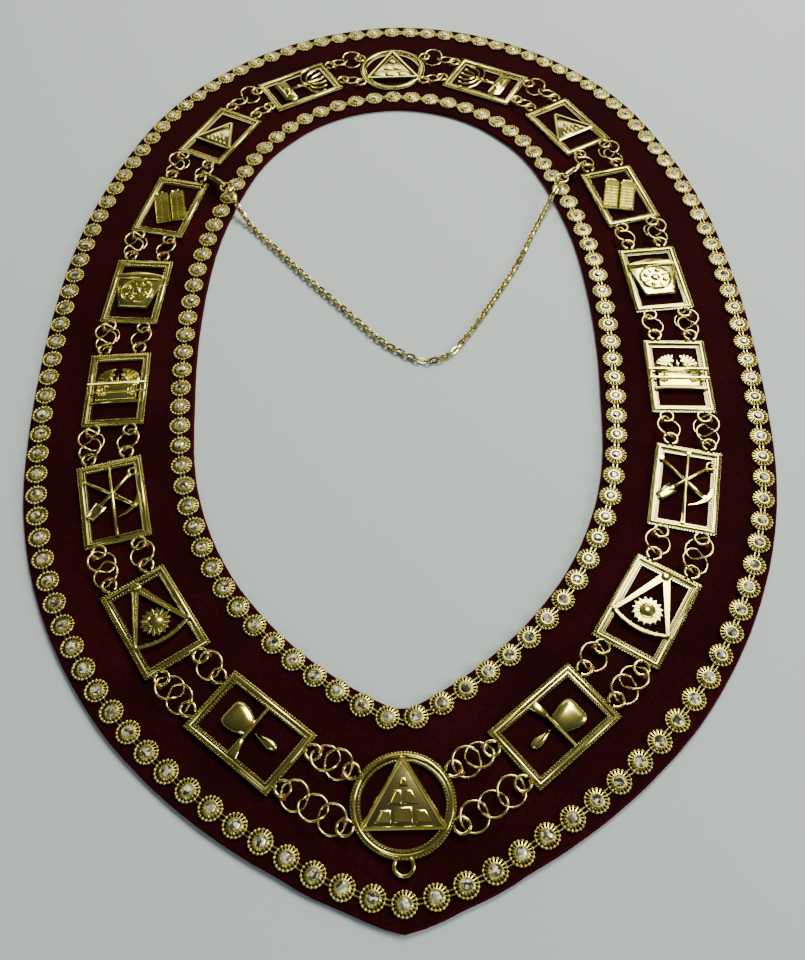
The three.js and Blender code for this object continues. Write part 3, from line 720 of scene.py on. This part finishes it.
def beadRow(points, row):  # each bead is a little longer across the rail than along it
    places = []
    for (x, y), (nextX, nextY) in zip(points, [*points[1:], points[0]]):
        size = Matrix.Diagonal((row["along"], row["across"], row["across"], 1))
        places.append(moved(x, y, row["high"]) @ turnZ(atan2(nextY - y, nextX - x)) @ size)
    return copies("beadRow", bead, places)


def alongEdges(corners, pitch, closed=True):  # evenly spaced points along straight edges
    ends = [*corners[1:], corners[0]] if closed else corners[1:]
    found = []
    for a, b in zip(corners, ends):
        a, b = Vector(a), Vector(b)
        count = max(1, round((b - a).length / pitch))
        found += [tuple(a.lerp(b, i / count)) for i in range(count)]
    return found


# frames
def crowned(halfWide, high, count=5):  # the steps, in and up, that draw a round moulding
    radius = (halfWide**2 + high**2) / (2 * high)
    turns = [asin(halfWide / radius) * (2 * i / count - 1) for i in range(count + 1)]
    places = [(radius * sin(t), radius * cos(t)) for t in turns]
    return [(b[0] - a[0], b[1] - a[1]) for a, b in zip(places, places[1:])]


frameWork = {
    "start": 0.2,
    "wall": 1,
    "outerBead": {"in": 0.56, "along": 0.42, "across": 0.5, "pitch": 1.15, "high": 1.35},
    "innerBead": {"in": 3.42, "along": 0.4, "across": 0.42, "pitch": 1.1, "high": 1.4},
    # the bead rows above are coarser than real ones, so that they show
    # the moulding as (in, up): the beads' ledge, a broad crowned band, a sunk ledge,
    # a thin line, the inner ledge
    "steps": [
        *((0.76, 0), (0.04, 0.3)),
        *crowned(0.64, 0.42),
        *((0.04, -0.45), (0.42, 0)),
        *crowned(0.16, 0.3, 3),
        *((0.04, -0.25), (0.76, 0)),
    ],
}


def moulded(points):
    # stepped to the moulding's profile, its middle taken out and its inner wall closed down to the underside
    obj = stepped(points, 0, frameWork["wall"], frameWork["steps"], "FACE")
    bpy.ops.mesh.delete(type="ONLY_FACE")
    mode("OBJECT")
    editFaces(obj, lambda face: face.normal.z < -0.9 and face.center.z < 0.01 * mm)
    bpy.ops.mesh.delete(type="ONLY_FACE")
    bpy.ops.mesh.select_mode(type="EDGE")
    bpy.ops.mesh.select_non_manifold()
    bpy.ops.mesh.bridge_edge_loops()
    faceOutward()
    return obj


def rectangle(halfWide, halfLong):
    return [(halfWide, -halfLong), (halfWide, halfLong), (-halfWide, halfLong), (-halfWide, -halfLong)]


def rectangleFrame():
    w, l, start = layout["plaqueWide"] / 2, layout["plaqueLong"] / 2, frameWork["start"]
    parts = [moulded(rectangle(w - start, l - start))]
    for row in (frameWork["outerBead"], frameWork["innerBead"]):
        line = alongEdges(rectangle(w - row["in"], l - row["in"]), row["pitch"])
        parts.append(beadRow(line, row))
    return parts


def roundFrame():
    radius = layout["roundRadius"]
    parts = [moulded(ringPoints((0, 0), radius - frameWork["start"], 96))]
    for row in (frameWork["outerBead"], frameWork["innerBead"]):
        count = round(2 * pi * (radius - row["in"]) / row["pitch"])
        parts.append(beadRow(ringPoints((0, 0), radius - row["in"], count), row))
    return parts


# eyelets: wire bent round and left a little open
eyelet = {"radius": 2.75, "wire": 0.62, "open": 34, "height": 1.7}
# the loop under the front pendant that a jewel hangs from: its ends meet the frame
jewelLoop = {"middle": (0, -20.1), "radius": 3.25, "start": -230, "end": 50}
jewelLoop |= {"height": 1, "wire": 0.78, "count": 24}


def makeEyelet(middle, turn):
    # the gap in the wire meets the frame
    half = eyelet["open"] / 2
    start, end = turn + 180 + half, turn + 540 - half
    return arcTube(middle, eyelet["radius"], start, end, eyelet["height"], eyelet["wire"], 20)


# emblems, drawn in mm with +y towards the nape
flat = ((0.2, 0.2),)
ridge = ((0.35, 0.5), (0.3, 0.15))
dome = ((0.35, 0.5), (0.6, 0.4))
innerWide = layout["plaqueWide"] / 2 - 3.2  # where a bar meets the frame
innerLong = layout["plaqueLong"] / 2 - 3.2


def trowelEmblem():
    blade = [
        *((-1.6, -0.6), (3.3, -0.6), (5, 1.9), (6.4, 5.4), (6.8, 8.6), (6.2, 10.6)),
        *((4.4, 11.7), (-2.2, 11.8), (-4, 10.8), (-4.6, 8.8), (-4.3, 5.8), (-3.2, 2)),
    ]
    handle = [
        *((0.4, -1), (1.3, -3), (2.3, -6.4), (2.9, -9.2), (2.3, -11.4)),
        *((0.9, -12.3), (-0.6, -11.4), (-1.3, -9.2), (-0.8, -6.4), (-0.3, -3)),
    ]
    fan = [(-innerWide, -3.1), (-3.8, -0.9), (-3.8, 0.8), (-innerWide, 1)]
    return [
        raised(blade, 0.6, 0.35, ((0.4, 0.55), (1.1, 0.45), (1.5, 0.35))),
        raised(handle, 0.6, 0.3, ((0.3, 0.5), (0.5, 0.4), (0.5, 0.15))),
        raised(fan, 1, 0.7, ((0.5, 0.35),)),
        strip((-4.4, 0), (innerWide, 0.2), 1.7, 1, 0.7, ((0.45, 0.5),)),
        boss((3.2, 1.6), 0.45, 1.4, 0.3, ((0.15, 0.1),), 8),
        boss((2.6, 3.6), 0.45, 1.7, 0.3, ((0.15, 0.1),), 8),
    ]


def sunPoints(middle, outer, inner, count):
    reaches = [(outer if i % 2 else inner, pi * i / count) for i in range(2 * count)]
    return [(middle[0] + reach * cos(t), middle[1] + reach * sin(t)) for reach, t in reaches]


def compassesEmblem():
    hinge, sun = (0.2, 16.2), (0.2, -0.8)
    parts = [boss(hinge, 2, 0.8, 1.2, ((0.3, 0.2),), 16), boss(hinge, 0.9, 2, 0.3, flat, 10)]
    for s in (-1, 1):  # the two legs, each with a rib and a row of grains
        (x1, y1), (x2, y2) = (0.3 * s, 16.4), (10.6 * s, -5.8)
        shares = [0.1 + 0.045 * i for i in range(14)]
        grains = [(x1 + (x2 - x1) * t - 0.35 * s, y1 + (y2 - y1) * t) for t in shares]
        parts += [
            strip((x1, y1), (x2, y2), 3, 0.8, 0.8, flat, 1.3),
            strip((x1 + 1.2 * s, y1), (x2 + 0.4 * s, y2), 0.6, 1.6, 0.35, ((0.1, 0.1),)),
            beads(grains, 0.36, 1.75),
            boss((11.2 * s, -6.3), 1.1, 1, 0.9, ((0.3, 0.2),), 12),
        ]
    sag = [(11.4 * (i / 7 - 1), -9.2 + 3 * (i / 7 - 1) ** 2) for i in range(15)]
    band = [(x, y + 0.85) for x, y in sag] + [(x, y - 0.85) for x, y in sag[::-1]]
    parts.append(raised(band, 1, 0.7, ((0.35, 0.35),)))
    for x in (-6.8, -3.4, 0, 3.4, 6.8):
        y = -9.2 + 3 * (x / 11.4) ** 2
        parts.append(strip((x, y - 0.9), (x, y + 0.9), 0.35, 1.6, 0.5, ((0.08, 0.08),)))
    parts.append(raised(sunPoints(sun, 6.3, 4.9, 16), 0.8, 0.6, flat))
    for x, y in sunPoints(sun, 5.6, 5.6, 16)[1::2]:  # a ridge along each ray
        t = atan2(y - sun[1], x - sun[0])
        root = (sun[0] + 3.1 * cos(t), sun[1] + 3.1 * sin(t))
        parts.append(strip(root, (x, y), 0.5, 1.5, 0.35, ((0.12, 0.15),), 0.8))
    face = ((0.25, 0.15), (0.3, -0.25), (0.4, 0.1), (0.8, 0.3), (0.7, 0.15))
    parts.append(boss(sun, 3.1, 1.4, 0.5, face, 20))
    return parts


def toolsEmblem():
    foot, shovel = -innerLong - 0.6, [(-11.9, -5.2), (-8.9, -8.1), (-3.3, -2.7), (-6.9, 0.9)]
    pickaxe = [
        *((innerWide + 0.4, 1.6), (10.9, -2.8), (8.6, -5.7), (5, -7.8), (1, -9)),
        *((1.2, -8.3), (4.8, -6.6), (7.2, -4.4), (8.8, -2), (innerWide - 0.5, 1.4)),
    ]
    return [
        strip((0, -innerLong), (0, innerLong), 1.5, 1.3, 0.5, ridge),
        boss((0, innerLong - 0.4), 1, 1.2, 0.9, flat, 6),
        raised([(-0.9, foot), (0.9, foot), (0.7, -13), (-0.7, -13)], 1.2, 0.8, flat),
        # the shovel
        strip((-5.6, -1.6), (7.6, 10.9), 1.5, 1.1, 0.5, ridge),
        raised(shovel, 0.9, 0.6, ((0.45, 0.25), (0.25, -0.3), (0.5, -0.1))),
        raised([(-6.6, -2.6), (-4.6, -1.9), (-5, 0.2)], 1.3, 0.7, flat),
        arcTube((9.2, 12.3), 1.6, 0, 360, 1.9, 0.5, 16),
        strip((7.2, 10.2), (8.4, 11.6), 1.9, 1.2, 0.7, ridge),
        # the pickaxe
        strip((-innerWide, 12.4), (0, 3.2), 1.3, 0.9, 0.45, ridge, 1.5),
        strip((0.6, 2.6), (7.4, -3.6), 2.2, 1, 0.6, ridge, 1.7),
        raised(pickaxe, 1, 0.6, ((0.28, 0.35),)),
        boss((7.9, -4), 1.2, 1.1, 1.1, flat, 10),
        boss((-innerWide - 0.4, 12.6), 1.2, 1.1, 1, flat, 8),
    ]


def wing(s):
    # an arched fan of feathers over the chest's lid
    base = [
        *((9.3, 3.2), (9.7, 5.6), (8.6, 8.6), (6.2, 10.8), (2.6, 12)),
        *((1.4, 11.6), (2.6, 10), (3, 7.2), (2.4, 3.2)),
    ]
    parts = [raised([(x * s, y) for x, y in base], 0.8, 0.3, ((0.3, 0.2),))]
    for i in range(6):  # feathers, longest at the top
        t = radians(20 + 17 * i)
        root = (3.6 * s, 4.6 + 0.35 * i)
        tip = (3.2 * s + 6 * s * cos(t), 4.2 + 6.9 * sin(t))
        parts.append(strip(root, tip, 0.6, 1.1, 0.5, ((0.28, 0.6),), 1.2))
    parts.append(boss((3.4 * s, 5.2), 1.5, 1.1, 1, ((0.4, 0.4), (0.5, 0.15)), 10))
    parts.append(boss((2.2 * s, 7.6), 0.85, 1.1, 0.9, ((0.3, 0.3),), 8))
    return parts


def chestEmblem():
    front = [(-9.2, -6.6), (9.2, -6.6), (9.2, 2), (-9.2, 2)]
    pole = innerWide + 2.6
    parts = [
        raised(front, 0.7, 0.8, ((0.4, 0.45), (0.35, -0.7), (3, 0.35))),
        raised([(-9.8, 1.6), (9.8, 1.6), (9.3, 3.5), (-9.3, 3.5)], 0.7, 1.3, ((0.3, 0.25),)),
        strip((-11.4, -7.6), (11.4, -7.6), 1.2, 0.8, 1, ridge),
        strip((-pole, -1.9), (pole, -1.9), 1, 1.8, 0.4, ((0.3, 0.35),)),
        strip((-pole, 2.9), (pole, 2.9), 0.9, 2, 0.4, ((0.28, 0.3),)),
        beads(alongEdges([(-8.6, -5.9), (8.6, -5.9)], 1.15, False), 0.42, 1.55),
        beads(alongEdges([(-8.8, 4.1), (8.9, 4.1)], 1.25, False), 0.5, 1.7),
        boss((0, 5.3), 0.9, 1.5, 0.5, ((0.25, 0.5), (0.2, 0.5)), 8),
        strip((0, 4.6), (0, 8.2), 0.8, 1.5, 0.3, ((0.25, 0.3),), 0.5),
    ]
    for s in (-1, 1):
        middle = (6.4 * s, -1.9)
        parts.append(boss(middle, 2.1, 1, 0.8, ((0.4, 0.45), (0.5, -0.5), (0.4, 0.5), (0.3, 0.15)), 16))
        parts.append(beads(ringPoints(middle, 1.75, 8), 0.4, 2.1))
        parts += wing(s)
    return parts


def keystoneEmblem():
    crown, lip = (
        [(wide * (1 - i / 5), high + 2.4 * sin(pi * i / 10)) for i in range(11)]
        for wide, high in ((12.2, 10), (11.9, 9.6))
    )
    parts = [
        raised([(-7, -11), (7, -11), *crown], 0.7, 0.8, ((0.7, 0.5), (0.6, -0.7), (3, 0.5))),
        raised([(-11.4, 7.6), (11.4, 7.6), *lip], 1.3, 0.8, ((0.5, 0.6), (0.6, 0.2))),
        strip((-6.6, -10.2), (6.6, -10.2), 1.3, 1.5, 0.5, ((0.35, 0.4),)),
        boss((0, 0), 7.8, 1.2, 0.7, ((0.5, 0.6), (0.35, 0.12), (0.5, -0.9)), 40),
        boss((0, 0), 2.4, 1.4, 0.4, ((0.45, 0.5), (0.5, 0.3), (0.5, 0.12)), 20),
    ]
    for i in range(8):  # plain studs and bars by turns round the ring
        t = 2 * pi * i / 8 + pi / 8
        if i % 2:
            stud = (4.6 * cos(t), 4.6 * sin(t))
            parts.append(boss(stud, 1.5, 1.3, 0.6, ((0.4, 0.55), (0.4, 0.3), (0.3, 0.08)), 12))
        else:
            root, tip = ((reach * cos(t), reach * sin(t)) for reach in (3.3, 6.3))
            parts.append(strip(root, tip, 1.7, 1.3, 0.5, ((0.55, 0.7),)))
    return parts


def tabletsEmblem():
    parts = []
    for left, right in ((-7.9, -0.15), (0.15, 7.9)):
        middle, half = (left + right) / 2, 3.87
        top = [(middle + half * cos(pi * i / 10), 8.4 + 3.6 * sin(pi * i / 10)) for i in range(11)]
        parts.append(raised([(left, -11.2), (right, -11.2), *top], 0.9, 0.9, ((0.35, 0.4), (0.4, -0.45))))
        for row in range(8):
            y = -9.5 + 2.2 * row
            for x, long in ((left + 1, 2.5), (left + 4.1, 2.6)):
                parts.append(strip((x, y), (x + long, y), 1.15, 1.4, 0.4, ((0.3, 0.4),)))
    return parts


def triangleParts(base, apex, half, borderWide):
    corners = [(-half, base), (half, base), (0, apex)]
    parts = [raised(corners, 0.6, 0.5, ((0.2, 0.1),))]
    for a, b in zip(corners, [*corners[1:], corners[0]]):
        parts.append(strip(a, b, borderWide, 0.6, 1.1, ((borderWide * 0.3, 0.45),)))
    return parts


def triangleEmblem():
    parts = triangleParts(-7.6, 11.2, innerWide + 0.2, 1.5)
    for y, spots in ((-4.4, (-5.2, -2.6, 0, 2.6, 5.2)), (-1.4, (-2.6, 0, 2.6)), (1.6, (0,))):  # plain studs
        parts += [boss((x, y), 1.15, 0.9, 0.5, ((0.3, 0.4), (0.35, 0.25)), 10) for x in spots]
    return parts


def candlestickEmblem():
    cups = [(x, 14 - 0.034 * x * x) for x in (-11.2, -7.6, -3.9, 0, 3.9, 7.6, 11.2)]
    foot = [(-7.2, -12.6), (7.2, -12.6), (9.8, -8.6), (8.4, -5.4), (-8.4, -5.4), (-9.8, -8.6)]
    parts = [
        strip((0, -5.6), (0, 13.6), 1.5, 0.9, 0.5, ridge),
        boss((0, -1.2), 1.3, 1.2, 0.6, dome, 12),
        boss((0, 2.2), 1.4, 1.2, 0.6, dome, 12),
        boss((0, 5.4), 1.2, 1.2, 0.6, dome, 12),
        raised(foot, 0.7, 0.7, ((0.5, 0.3),)),
        raised([(-4.6, -9.6), (4.6, -9.6), (3, -6.6), (-3, -6.6)], 1.4, 0.6, ((0.4, 0.35),)),
        strip((-5.6, -10.9), (5.6, -10.9), 1.1, 1.5, 0.4, ridge),
        boss((0, -7.9), 1.2, 1.9, 0.5, ((0.4, 0.3),), 10),
    ]
    for x, y in cups:
        cup = [(x - 0.9, y + 1.1), (x + 0.9, y + 1.1), (x + 0.55, y - 0.7), (x - 0.55, y - 0.7)]
        parts.append(raised(cup, 1, 0.9, ((0.3, 0.3),)))
    turns = [pi / 2 * i / 8 for i in range(9)]
    for (x, y), low in zip(cups[4:], (7.2, 4.6, 2)):  # three pairs of branches
        for s in (-1, 1):
            bend = [(s * x * sin(t), low + (y - 0.6 - low) * (1 - cos(t)), 1.5) for t in turns]
            parts.append(tube(bend, 0.55, False, 2))
    return parts


def roundEmblem():
    # a raised triangle whose corners meet the ring, with plain steps in its field
    blocks = [
        [(-1.7, 6.2), (1.7, 6.2), (0.8, 9), (-0.8, 9)],
        [(-3.1, -6.3), (3.1, -6.3), (3.1, -1), (-3.1, -1)],
    ]
    for s in (-1, 1):
        blocks.append([(0.6 * s, 0), (5.2 * s, 0), (2.9 * s, 4.8), (0.6 * s, 4.8)])
        blocks.append([(4.2 * s, -6.3), (9.9 * s, -6.3), (7.6 * s, -2), (4.2 * s, -2)])
    steps = ((0.14, 0.12), (0.5, 0), (0.1, -0.25))
    return triangleParts(-8, 16.3, 14.1, 1.5) + [raised(block, 1.1, 0.55, steps) for block in blocks]


emblems = [trowelEmblem, compassesEmblem, toolsEmblem, chestEmblem]
emblems += [keystoneEmblem, tabletsEmblem, triangleEmblem, candlestickEmblem]
emblems = dict(zip(layout["order"], emblems))


def emblemParts(emblem, side):
    parts = emblems[emblem]()
    if emblem == "tablets":  # these lean to the other side on the left
        tablets = joined("tablets", parts)
        tablets.rotation_euler.z = radians(-25 * side)
        parts = [settled(tablets)]
    return parts


def placed(name, casting, matrix, node, body="collar"):
    obj = linked(name, casting.data.copy())
    obj.data.name = name
    obj.data.transform(matrix)
    if matrix.determinant() < 0:
        obj.data.flip_normals()
    finished(obj, body, [node])


def makeCasting(name, parts):
    obj = joined(name, parts)
    obj.data.materials.clear()
    obj.data.materials.append(giltCasting)
    return smoothed(obj, 43)


def makePlaques():
    reach = layout["plaqueLong"] / 2 + layout["eyeBeyond"]
    across = layout["eyeAcross"]
    for i, emblem in enumerate(layout["order"]):
        casting = None
        for side, word in ((1, "right"), (-1, "left")):
            if casting is None or emblem == "tablets":
                eyes = [makeEyelet((x, end * reach), 90 * end) for x in (-across, across) for end in (-1, 1)]
                casting = makeCasting("casting", rectangleFrame() + emblemParts(emblem, side) + eyes)
            name, node = word + emblem.capitalize() + "Plaque", f"{word}_{emblem}_plaque"
            placed(name, casting, plaqueMatrix(i + 1, side), node)
            if side < 0 or emblem == "tablets":
                removed(casting)
        print(emblem, "plaques made")
    for name, node, index, turns in (
        ("frontPendant", "front_pendant", 0, layout["frontEyes"]),
        ("napePlaque", "nape_plaque", lastPlaque, layout["napeEyes"]),
    ):
        spots = [(turn, s) for turn in turns for s in (-1, 1)]
        eyes = [makeEyelet(roundEye(turn, s), turn if s > 0 else 180 - turn) for turn, s in spots]
        if index == 0:
            eyes.append(arcTube(**jewelLoop))
        casting = makeCasting("casting", roundFrame() + roundEmblem() + eyes)
        placed(name, casting, plaqueMatrix(index, 1), node)
        removed(casting)
    print("round plaques made")


makePlaques()

# jump rings
jumpRing = {"radius": 5, "wire": 0.46, "rise": 1.7, "ease": 1.1, "steps": 28}


def makeRing(over):
    # sprung open a little: one half passes over the eyelets and the other half under them
    points = []
    for i in range(jumpRing["steps"]):
        turn = 2 * pi * (i + 0.5) / jumpRing["steps"]
        across = jumpRing["radius"] * sin(turn)
        rise = over * jumpRing["rise"] * across / hypot(across, jumpRing["ease"])
        points.append((jumpRing["radius"] * cos(turn), across, rise))
    ring = tube(points, jumpRing["wire"], True)
    ring.data.materials.append(giltWire)
    return ring


def makeRings():
    for side, word in ((1, "right"), (-1, "left")):
        ring = makeRing(side)
        for gap in range(lastPlaque):
            for run in ("inner", "outer"):
                start, end = gapEyes(gap, side, run == "outer")
                direction = end - start
                turn = turnZ(atan2(direction.y, direction.x))
                height = plaqueLow + layout["eyeHeight"]
                # linked rings lean opposite ways, so that each passes over the next on one side only
                middles = enumerate(ringMiddles(start, end))
                places = [moved(m.x, m.y, height) @ turn @ turnZ(pi * (i % 2)) for i, m in middles]
                rings = smoothed(copies(f"{word}{run.capitalize()}Rings{gap + 1}", ring, places), 60)
                finished(rings, "collar", [f"{word}_{run}_rings_{gap + 1}"])
        removed(ring)


makeRings()
print("jump rings made")

# clasps: each catches the inner ring between the tablets and the triangle
clasp = {
    "heading": 46.8,
    "roll": -50,
    "reach": 13.9,
    "eyeHigh": 8,
    "ringTurn": 140,
    "neck": 1.4,
    "shoulder": 9.5,
    "hook": 13.5,
    "hole": 2,
    "wall": 1.1,
    "pivot": (6.9, -1.2),
}


def claspMatrix():  # the right one; the left one is its mirror image
    start, end = gapEyes(layout["order"].index("tablets") + 1, 1, False)
    direction = (end - start).normalized()
    turn = radians(clasp["ringTurn"])
    middle = ringMiddles(start, end)[0]
    across = jumpRing["radius"] * sin(turn)
    sideways = Vector((-direction.y, direction.x))
    caught = middle + direction * jumpRing["radius"] * cos(turn) + sideways * across
    high = plaqueLow + layout["eyeHeight"] + jumpRing["rise"] * across / hypot(across, jumpRing["ease"])
    drop = clasp["eyeHigh"] - high
    level = sqrt(clasp["reach"] ** 2 - drop**2)
    heading = radians(clasp["heading"])
    eye = Vector((caught.x - level * cos(heading), caught.y - level * sin(heading), clasp["eyeHigh"]))
    turned = Euler((radians(clasp["roll"]), asin(drop / clasp["reach"]), heading), "XYZ").to_matrix().to_4x4()
    return eye, Matrix.Translation(eye * mm) @ turned


def claspBodyParts():
    hook, hole, wide = (clasp["hook"], 0), clasp["hole"], clasp["hole"] + clasp["wall"]
    outline = [
        *arcPoints((0, 0), clasp["neck"], 90, 270, 8),
        *((3, -1.7), (4.8, -2), (4.9, -0.4), (5.6, 0.6)),
        *arcPoints((10.6, 0), hole, 162, 90, 5),
        *arcPoints(hook, hole, 90, -90, 10),
        *((12.65, -hole), (12.65, -wide)),
        *arcPoints(hook, wide, -90, 90, 12),
        *((clasp["shoulder"], wide), (6.2, 2.35), (3, 1.7)),
    ]
    cheek = [(4.2, -1.9), (6.2, -2.7), (8.2, -2.4), (8.6, -0.6), (8.4, 0.9), (4.6, 0.9)]
    return [
        raised(outline, -1, 1.45, ((0.25, 0.35), (0.2, 0.15))),
        raised(cheek, 0.76, 0.1, ((0.3, 0.12),)),
        raised(cheek, -1, 0.22, ()),
        boss(clasp["pivot"], 0.42, -0.9, 1.9, ((0.1, 0.08),), 10),
        strip((0.6, 0.5), (9.2, 1.9), 0.5, 0.85, 0.25, ((0.12, 0.14),), 0.7),
        strip((0.8, -0.5), (4.6, -0.9), 0.45, 0.85, 0.25, ((0.12, 0.14),), 0.6),
    ]


def claspLeverParts():
    arm = [
        *((6.3, -2.3), (8.6, -3.05), (11.6, -3.05), (12.1, -2.05)),
        *((8.8, -2.05), (7.8, -0.35), (6.5, -0.1), (5.75, -0.7)),
    ]
    return [raised(arm, -0.6, 0.85, ((0.2, 0.25), (0.15, 0.08)))]


# the neck chain: oval links, each turned a quarter against the last
neckChain = {
    "low": 1.5,
    "pitch": 2.75,
    "halfLong": 1.9,
    "halfWide": 1,
    "wire": 0.48,
    "endRing": {"radius": 3.2, "wire": 0.55},
    "endBack": 3.4,
    # from an end ring it comes down over the collar's edge: inward, forward and down from the ring's middle
    "comeDown": [(1.1, 2.9, 0), (3.6, 7, 0.8), (7.6, 14, 3.6)],
    # then its route over the surface, from the right end ring to the left one
    "route": [
        *((69.5, 72.1), (59, 48.6), (46.3, 26.1), (34.4, 6.6), (24.4, -6.3), (13.7, -10.2)),
        *((3.4, -5.6), (-8.3, 4), (-25.2, 23.6), (-41.7, 42.6), (-59, 64.1), (-71, 79.1)),
    ],
}


def chainRoute(ends):
    right, left = (
        [end + Vector((-side * inward, -forward, -down)) for inward, forward, down in neckChain["comeDown"]]
        for end, side in zip(ends, (1, -1))
    )
    points = [*right, *(Vector((x, y, neckChain["low"])) for x, y in neckChain["route"]), *left[::-1]]
    fine = []
    for i in range(len(points) - 1):  # a smooth line through the points
        a, b, c, d = points[max(i - 1, 0)], points[i], points[i + 1], points[min(i + 2, len(points) - 1)]
        for k in range(24):
            t = k / 24
            bend, twist = 2 * a - 5 * b + 4 * c - d, 3 * b - 3 * c + d - a
            fine.append(0.5 * (2 * b + (c - a) * t + bend * t**2 + twist * t**3))
    return [*fine, points[-1]]


def makeLink():
    half = neckChain["halfWide"]
    end = arcPoints((neckChain["halfLong"] - half, 0), half, -90, 90, 6)
    points = [(sign * x, sign * y, 0) for sign in (1, -1) for x, y in end]
    return tube(points, neckChain["wire"], True, 1)


def makeNeckChain():
    eye, matrix = claspMatrix()
    mirror = Matrix.Scale(-1, 4, (1, 0, 0))
    heading = radians(clasp["heading"])
    back = Vector((cos(heading), sin(heading), 0)) * neckChain["endBack"]
    ends = [eye - back, mirror @ (eye - back)]
    line = chainRoute(ends)
    reached = lengthsTo(line)
    count = round(reached[-1] / neckChain["pitch"])
    places, k = [], 0
    for i in range(count + 1):
        wanted = reached[-1] * i / count
        while reached[k + 1] < wanted and k + 2 < len(line):
            k += 1
        point = line[k].lerp(line[k + 1], (wanted - reached[k]) / (reached[k + 1] - reached[k]))
        along = (line[k + 1] - line[k]).to_track_quat("X", "Z").to_matrix().to_4x4()
        lean = radians(38 if i % 2 else -42) + 0.3 * noise.noise(point)
        places.append(Matrix.Translation(point * mm) @ along @ Matrix.Rotation(lean, 4, "X"))
    link = makeLink()
    links = copies("links", link, places)
    rings = [torus(neckChain["endRing"], 32, 10, end * mm) for end in ends]
    body = joined("claspBody", claspBodyParts())
    bodies = [copies("clasp", body, [place]) for place in (matrix, mirror @ matrix)]
    bodies[1].data.flip_normals()
    chain = joined("neckChain", [links, *rings, *bodies])
    chain.data.materials.clear()
    chain.data.materials.append(giltWire)
    finished(smoothed(chain, 40), "collar", ["neck_chain"])
    lever = smoothed(joined("lever", claspLeverParts()), 40)
    lever.data.materials.append(giltWire)
    placed("rightClaspLever", lever, matrix, "right_clasp_lever", "right_lever")
    placed("leftClaspLever", lever, mirror @ matrix, "left_clasp_lever", "left_lever")
    removed(link, body, lever)
    print("neck chain made:", count + 1, "links")


makeNeckChain()

# the thread that sews the eyelets down to the velvet
stitch = {"wire": 0.26, "half": 1, "high": 1.3, "above": 0.6}


def makeStitches():
    strands = []
    for shift, lean in ((-0.45, 0.25), (0, -0.15), (0.45, 0.1)):
        points = []
        for i in range(7):
            t = pi * i / 6
            points.append((shift + lean * cos(t), -stitch["half"] * cos(t), stitch["high"] * sin(t)))
        strands.append(tube(points, stitch["wire"], False, 1))
    template = joined("stitch", strands)
    template.data.materials.append(redThread)
    places = []
    for side in (1, -1):
        for gap in range(lastPlaque):
            for isOuter in (False, True):
                eyes = gapEyes(gap, side, isOuter)
                for point, other in (eyes, eyes[::-1]):
                    # it crosses the eyelet's wire on the side away from the middle of the collar's width
                    away = (other - point).normalized()
                    turn = atan2(away.y, away.x) + (0.9 if isOuter == (side > 0) else -0.9)
                    spot = point + Vector((cos(turn), sin(turn))) * eyelet["radius"]
                    wobble = 0.5 * noise.noise(Vector((spot.x, spot.y, 3.3)))
                    place = moved(spot.x, spot.y, plaqueLow + stitch["above"])
                    places.append(place @ turnZ(turn + pi / 2 + wobble))
    stitches = copies("redStitches", template, places)
    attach(stitches, "collar")
    removed(template)
    print("stitches made:", len(places))


makeStitches()

# the end: the bead template taken away
removed(bead)
